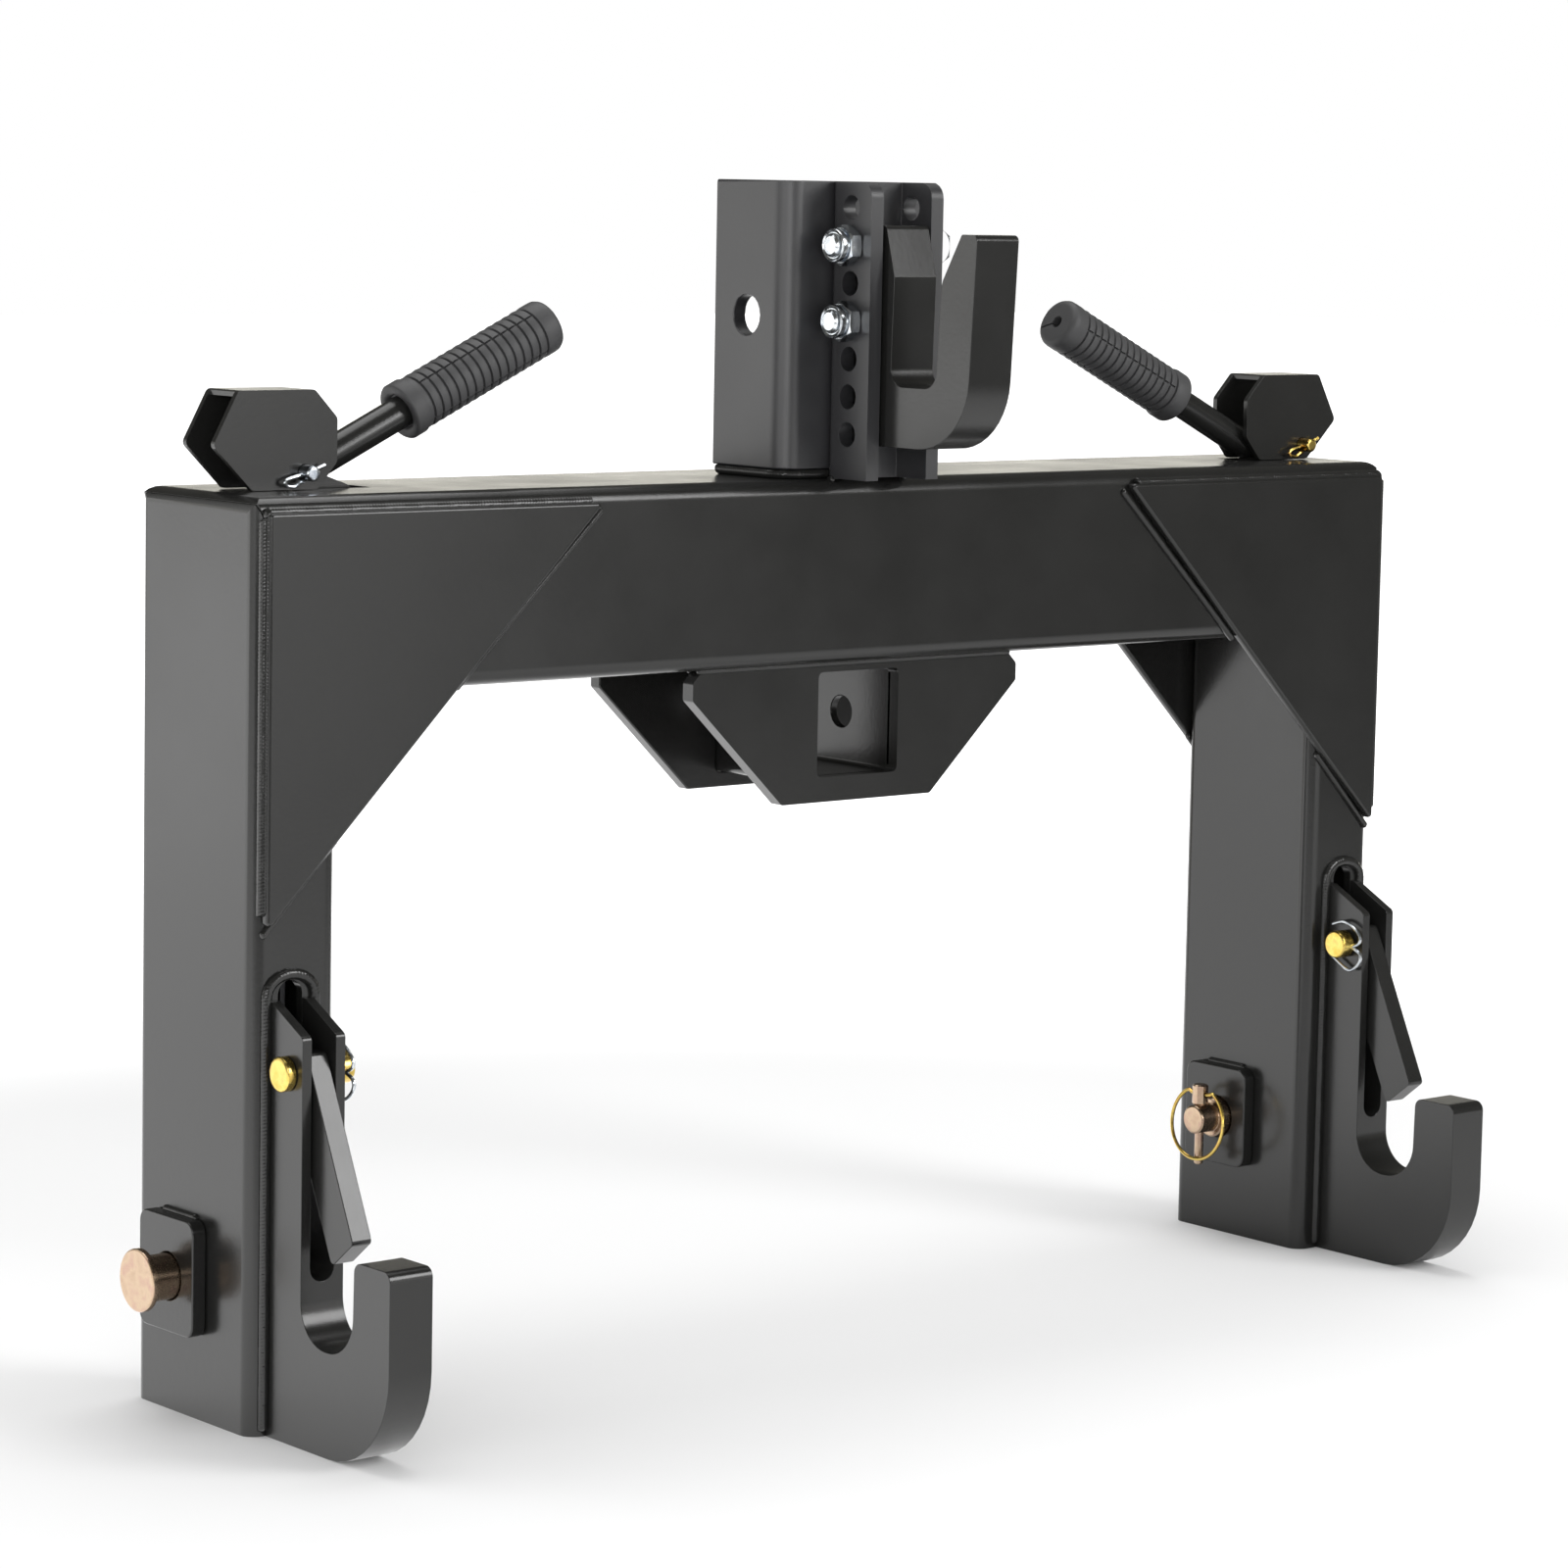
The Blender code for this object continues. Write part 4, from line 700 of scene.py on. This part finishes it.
grips = {  # angles in degrees
    "elbow": (0.316, 0.047, 0.4503),  # metres, mirrored for the left one
    "slope": 25.5, "start": 62.0, "length": 98.0, "radius": 13.6, "bore": 8.4,
    "collarRadius": 14.4, "collar": 9.0, "endBand": 9.0,
    "rings": 15, "grooveWidth": 1.5, "grooveDepth": 1.3,
    "seamWidth": 1.1, "seamDepth": 1.3, "seamAngle": {"left": 37, "right": 4},
    "holeRadius": 3.1, "holeDepth": 9.0, "slitWidth": 1.0, "slitDepth": 3.0, "slitAngle": 20,
}


def makeGrip(name, side, settings):
    node = "grip_" + name
    slope = radians(settings["slope"])
    rise = Vector((-side * cos(slope), 0, sin(slope)))
    elbow = Vector((side * settings["elbow"][0], *settings["elbow"][1:]))
    radius, length, bore, hole = (settings[key] for key in ("radius", "length", "bore", "holeRadius"))
    collar, collarEnd = settings["collarRadius"], settings["collar"]
    deep, half = radius - settings["grooveDepth"], settings["grooveWidth"] / 2
    pitch = (length - collarEnd - settings["endBand"]) / settings["rings"]
    profile = [(2.0, bore), (0.6, bore + 0.9), (0.0, bore + 2.2), (0.0, collar - 1.6), (0.4, collar - 0.6),
               (1.2, collar), (collarEnd - 1.8, collar), (collarEnd - 0.8, radius)]
    for ring in range(settings["rings"]):
        middle = collarEnd + (ring + 0.5) * pitch
        profile += [(middle - half, radius - 0.1), (middle - half * 0.6, deep), (middle + half * 0.6, deep),
                    (middle + half, radius - 0.1), (middle + pitch / 2, radius + 0.15)]
    profile += [(length - 5.0, radius + 0.15), (length - 2.6, radius), (length - 1.0, radius - 0.8),
                (length - 0.2, radius - 2.2), (length, radius - 3.6), (length, hole + 0.3),
                (length - 0.6, hole), (length - settings["holeDepth"], hole)]
    grip = turnedPiece(profile, (0, 0, 0), (0, 0, 1))
    width = settings["seamWidth"] / 2000
    seamStart = (collarEnd + pitch / 2) / 1000
    seamEnd = (length - settings["endBand"] - pitch / 2) / 1000
    for quarter in range(4):
        turn = Matrix.Rotation(radians(settings["seamAngle"][name] + 90 * quarter), 4, "Z")
        cutAway(grip, boxPiece((-width, -(radius + 2) / 1000, seamStart),
                               (width, -(radius - settings["seamDepth"]) / 1000, seamEnd), turn))
    slit = settings["slitWidth"] / 2000
    turn = Matrix.Rotation(radians(settings["slitAngle"] * side), 4, "Z")
    cutAway(grip, boxPiece((-slit, 0, (length - settings["slitDepth"]) / 1000),
                           (slit, (radius - 1) / 1000, (length + 2) / 1000), turn))
    turn = Vector((0, 0, 1)).rotation_difference(rise).to_matrix().to_4x4()
    grip.matrix_world = Matrix.Translation(elbow + rise * settings["start"] / 1000) @ turn
    finishPiece(grip, node + "_moulded", "black_rubber", bodyOfNode[node], [node], 40)


def makeSpring(name):
    # the return spring round the rod, its top under the guide: a copy of its node with a mesh of its own
    node = "rod_spring_" + name
    spring = finishPiece(copyOfNode(node), node + "_coil", slotOfNode[node], bodyOfNode[node], [node], 60)
    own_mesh(spring)


bolts = {"radius": 6.0, "flats": 18.0, "headDepth": 7.5, "nutDepth": 7.0, "collarRadius": 8.5,
         "collarDepth": 5.0, "threads": 9, "threadPitch": 1.75, "threadDepth": 0.9, "chamfer": 1.6}


def hexBlock(depth, settings, bothEnds):
    # a hexagon prism with its corners turned off
    bpy.ops.object.select_all(action="DESELECT")
    corner = settings["flats"] / 2 / cos(pi / 6)
    bpy.ops.mesh.primitive_cylinder_add(vertices=6, radius=corner / 1000, depth=depth / 1000,
                                        location=(0, 0, depth / 2000), rotation=(0, 0, pi / 6))
    block = bpy.context.object
    bpy.ops.object.transform_apply(location=True, rotation=True, scale=True)
    flat = settings["flats"] / 2 * 0.98
    low = settings["chamfer"] if bothEnds else -1.0
    profile = [(-0.01, flat if bothEnds else corner + 2), (low, corner + 1.0),
               (depth - settings["chamfer"], corner + 1.0), (depth + 0.01, flat)]
    cutAway(block, turnedPiece(profile, (0, 0, 0), (0, 0, 1)), "INTERSECT")
    return block


def makeBolt(name, settings):
    node = "hook_bolt_" + name
    low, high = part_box(node)
    middle = middleOf(node)
    length = (high.x - low.x) * 1000 - settings["headDepth"]
    radius, pitch = settings["radius"], settings["threadPitch"]
    root = radius - settings["threadDepth"]
    profile = [(-length, radius - 1.5), (0.9 - length, radius - 0.6)]
    for turn in range(settings["threads"]):
        at = 1.2 - length + turn * pitch
        profile += [(at, radius), (at + pitch * 0.2, radius),
                    (at + pitch * 0.55, root), (at + pitch * 0.7, root)]
    profile += [(20 - length, radius), (2.0, radius)]
    bolt = hexBlock(settings["headDepth"], settings, False)
    cutAway(bolt, turnedPiece(profile, (0, 0, 0), (0, 0, 1)), "UNION")
    place = Matrix.Translation((high.x - settings["headDepth"] / 1000, middle.y, middle.z))
    bolt.matrix_world = place @ Matrix.Rotation(pi / 2, 4, "Y")
    finishPiece(bolt, node + "_cut", "bright_zinc", bodyOfNode[node], [node], 30)

    node = "hook_nut_" + name
    depth, collar = settings["nutDepth"], settings["collarRadius"]
    end = depth + settings["collarDepth"]
    nut = hexBlock(depth, settings, True)
    profile = [(depth - 3, collar - 1.3), (depth + 0.9, collar - 1.3), (depth + 1.4, collar - 0.2),
               (depth + 1.9, collar), (end - 0.9, collar), (end - 0.3, collar - 0.3), (end, collar - 0.9),
               (end - 0.6, radius + 0.7)]
    cutAway(nut, turnedPiece(profile, (0, 0, 0), (0, 0, 1)), "UNION")
    cutAway(nut, turnedPiece([(-1, radius + 0.15), (end + 1, radius + 0.15)], (0, 0, 0), (0, 0, 1)))
    place = Matrix.Translation((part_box(node)[1].x, middle.y, middle.z))
    nut.matrix_world = place @ Matrix.Rotation(-pi / 2, 4, "Y")
    finishPiece(nut, node + "_cut", "bright_zinc", bodyOfNode[node], [node], 30)


for sideName, sideSign in sides.items():
    makeLinkPin(sideName, sideSign, linkPins)
    makeLinchRing(sideName, linchPins)
    makeGrip(sideName, sideSign, grips)
    makeSpring(sideName)

    latchPin = "latch_pin_" + sideName
    pinLow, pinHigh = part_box(latchPin)
    pinMiddle = middleOf(latchPin)
    headEnd = pinHigh.x if sideSign > 0 else pinLow.x
    makeHeadedPin(latchPin, (headEnd, pinMiddle.y, pinMiddle.z), (-sideSign, 0, 0),
                  (pinHigh.x - pinLow.x) * 1000 + latchPins["longer"], "yellow_zinc", latchPins)
    latchClip = "latch_clip_" + sideName
    makeClip(latchClip, (middleOf(latchClip).x, pinMiddle.y, pinMiddle.z), clipPaths["latch"], "bright_zinc",
             latchPins)

    leverPin = "lever_pin_" + sideName
    pinLow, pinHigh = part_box(leverPin)
    pinMiddle = middleOf(leverPin)
    makeHeadedPin(leverPin, (pinMiddle.x, pinHigh.y, pinMiddle.z), (0, -1, 0), (pinHigh.y - pinLow.y) * 1000,
                  slotOfNode[leverPin], leverPins)
    leverClip = "lever_clip_" + sideName
    makeClip(leverClip, (pinMiddle.x, middleOf(leverClip).y, pinMiddle.z), clipPaths["lever"],
             slotOfNode[leverClip], leverPins)
for boltName in ("upper", "lower"):
    makeBolt(boltName, bolts)
print("pins, clips, grips and bolts made")


welds = {
    "voxel": 0.55, "pitch": 1.7, "ripple": 0.85,  # half a ripple's length, in pitches
    "lean": 28,  # degrees
    "besideEdge": 3.6,  # a groove stays open between a gusset's slanted edge and its bead
    # radii of the beads
    "slant": 2.2, "frontEdge": 3.3, "rearEdge": 2.4, "top": 3.3, "hook": 3.0, "doubler": 2.2,
    "mast": 3.1, "frontChannel": 1.8, "receiver": 1.9,
}
# where a bead's line runs, in metres
bite = 0.001  # in from a plate's corner
faceLift = 0.0004  # off the face it lies on
edgeLift = 0.0002  # off a plate's edge or the channel's side
plateLift = 0.0016  # further off the frame's face, beside a plate's edge
plateInset = 0.004  # in from the ends of the receiver plates, and back from the beam's front
doublerInset = 0.009  # in from the ends of the doublers
hookArch = {"half": 0.0135, "foot": 0.004, "rise": 0.012}


def weldBead(name, points, radius, settings):
    # overlapping ripples laid along a line, melted into one bead
    line = lineOf(points, order=2)
    length = sum((Vector(b) - Vector(a)).length for a, b in zip(points, points[1:])) * 1000
    bpy.ops.object.select_all(action="DESELECT")
    bpy.ops.mesh.primitive_ico_sphere_add(subdivisions=2, radius=1, location=(0, 0, 0))
    bead = bpy.context.object
    bead.scale = (settings["pitch"] * settings["ripple"] / 1000, radius / 1000, radius / 1000)
    bead.rotation_euler = (0, radians(settings["lean"]), 0)
    bpy.ops.object.transform_apply(location=True, rotation=True, scale=True)
    addModifier(bead, "ARRAY", count=max(2, int(length / settings["pitch"])), use_relative_offset=False,
                use_constant_offset=True, constant_offset_displace=(settings["pitch"] / 1000, 0, 0))
    addModifier(bead, "CURVE", object=line, deform_axis="POS_X")
    addModifier(bead, "REMESH", mode="VOXEL", voxel_size=settings["voxel"] / 1000)
    addModifier(bead, "SMOOTH", factor=0.5, iterations=2)
    bpy.data.objects.remove(line, do_unlink=True)
    mendNormals(bead)
    finishPiece(bead, name, "satin_black_paint", bodyOfNode["cross_beam"], (), 80)


def archOver(x, half, foot, top, y, steps=9):
    # up one side, over the top and down the other
    spots = [(x - half, y, foot)]
    for step in range(steps + 1):
        angle = pi - pi * step / steps
        spots.append((x + half * cos(angle), y, top - half * 0.75 + half * 0.75 * sin(angle)))
    return spots + [(x + half, y, foot)]


beamLow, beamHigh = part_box("cross_beam")
for sideName, sideSign in sides.items():
    gussetLow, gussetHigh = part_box("gusset_front_" + sideName)
    legLow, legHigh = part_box("leg_" + sideName)
    inner, outer = sorted((abs(gussetLow.x), abs(gussetHigh.x)))
    legInner = min(abs(legLow.x), abs(legHigh.x))
    gap = welds["besideEdge"] / 1000
    faces = {"front": (legLow.y - faceLift, -plateLift, 0),
             "rear": (legHigh.y + faceLift, plateLift, rearGussetInset / 1000)}
    for face, (y, off, inset) in faces.items():
        ending = face + "_" + sideName
        onLeg = [(sideSign * (outer - inset - bite), y, gussetLow.z + inset - bite - gap),
                 (sideSign * (legInner + bite), y, gussetLow.z - bite + outer - legInner - gap)]
        onBeam = [(sideSign * (outer - (beamLow.z + 0.002 - gussetLow.z) - gap), y, beamLow.z + bite),
                  (sideSign * (inner - bite - gap), y, gussetHigh.z - 0.003)]
        weldBead("weld_gusset_leg_" + ending, onLeg, welds["slant"], welds)
        weldBead("weld_gusset_beam_" + ending, onBeam, welds["slant"], welds)
        x = sideSign * (outer - inset + edgeLift)
        edge = [(x, y + off, gussetLow.z + inset + 0.006), (x, y + off, gussetHigh.z - bite)]
        weldBead("weld_gusset_edge_" + ending, edge, welds[face + "Edge"], welds)
        z = gussetHigh.z + edgeLift
        top = [(sideSign * (outer - inset - bite), y + off, z), (sideSign * (inner + 0.003), y + off, z)]
        weldBead("weld_gusset_top_" + ending, top, welds["top"], welds)
    hookLow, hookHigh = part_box("lower_hook_" + sideName)
    arch = archOver((hookLow.x + hookHigh.x) / 2, hookArch["half"], hookArch["foot"],
                    hookHigh.z + hookArch["rise"], legLow.y - faceLift)
    weldBead("weld_hook_" + sideName, arch, welds["hook"], welds)
    for plate in ("outer", "inner"):
        low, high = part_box("doubler_" + plate + "_" + sideName)
        x = (min if plate == "outer" else max)(low.x, high.x, key=abs)  # the face that lies against the leg
        top = [(x, low.y + doublerInset, high.z + faceLift), (x, high.y - doublerInset, high.z + faceLift)]
        weldBead("weld_doubler_top_" + plate + "_" + sideName, top, welds["doubler"], welds)
mastLow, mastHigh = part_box("mast_rear_channel")
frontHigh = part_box("mast_front_channel")[1]
for sideName, sideSign in sides.items():
    x, z = mastHigh.x - 0.002, beamHigh.z + 0.0024
    # along the rear channel's front, round its corner and back along its side
    around = [(sideSign * (frontHigh.x - 0.004), mastLow.y + 0.002, z),
              (sideSign * (x - 0.010), mastLow.y + 0.002, z), (sideSign * (x - 0.003), mastLow.y + 0.005, z),
              (sideSign * x, mastLow.y + 0.012, z), (sideSign * x, mastHigh.y - 0.002, z)]
    weldBead("weld_mast_" + sideName, around, welds["mast"], welds)
    x = sideSign * (frontHigh.x + edgeLift)
    foot = [(x, beamLow.y + plateInset, beamHigh.z), (x, frontHigh.y, beamHigh.z)]
    weldBead("weld_front_channel_" + sideName, foot, welds["frontChannel"], welds)
for plate in ("front", "rear"):
    low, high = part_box("receiver_plate_" + plate)
    for face, y in (("a", low.y), ("b", high.y)):
        top = [(low.x + plateInset, y, high.z), (high.x - plateInset, y, high.z)]
        weldBead("weld_receiver_" + plate + "_" + face, top, welds["receiver"], welds)
print("welds laid")
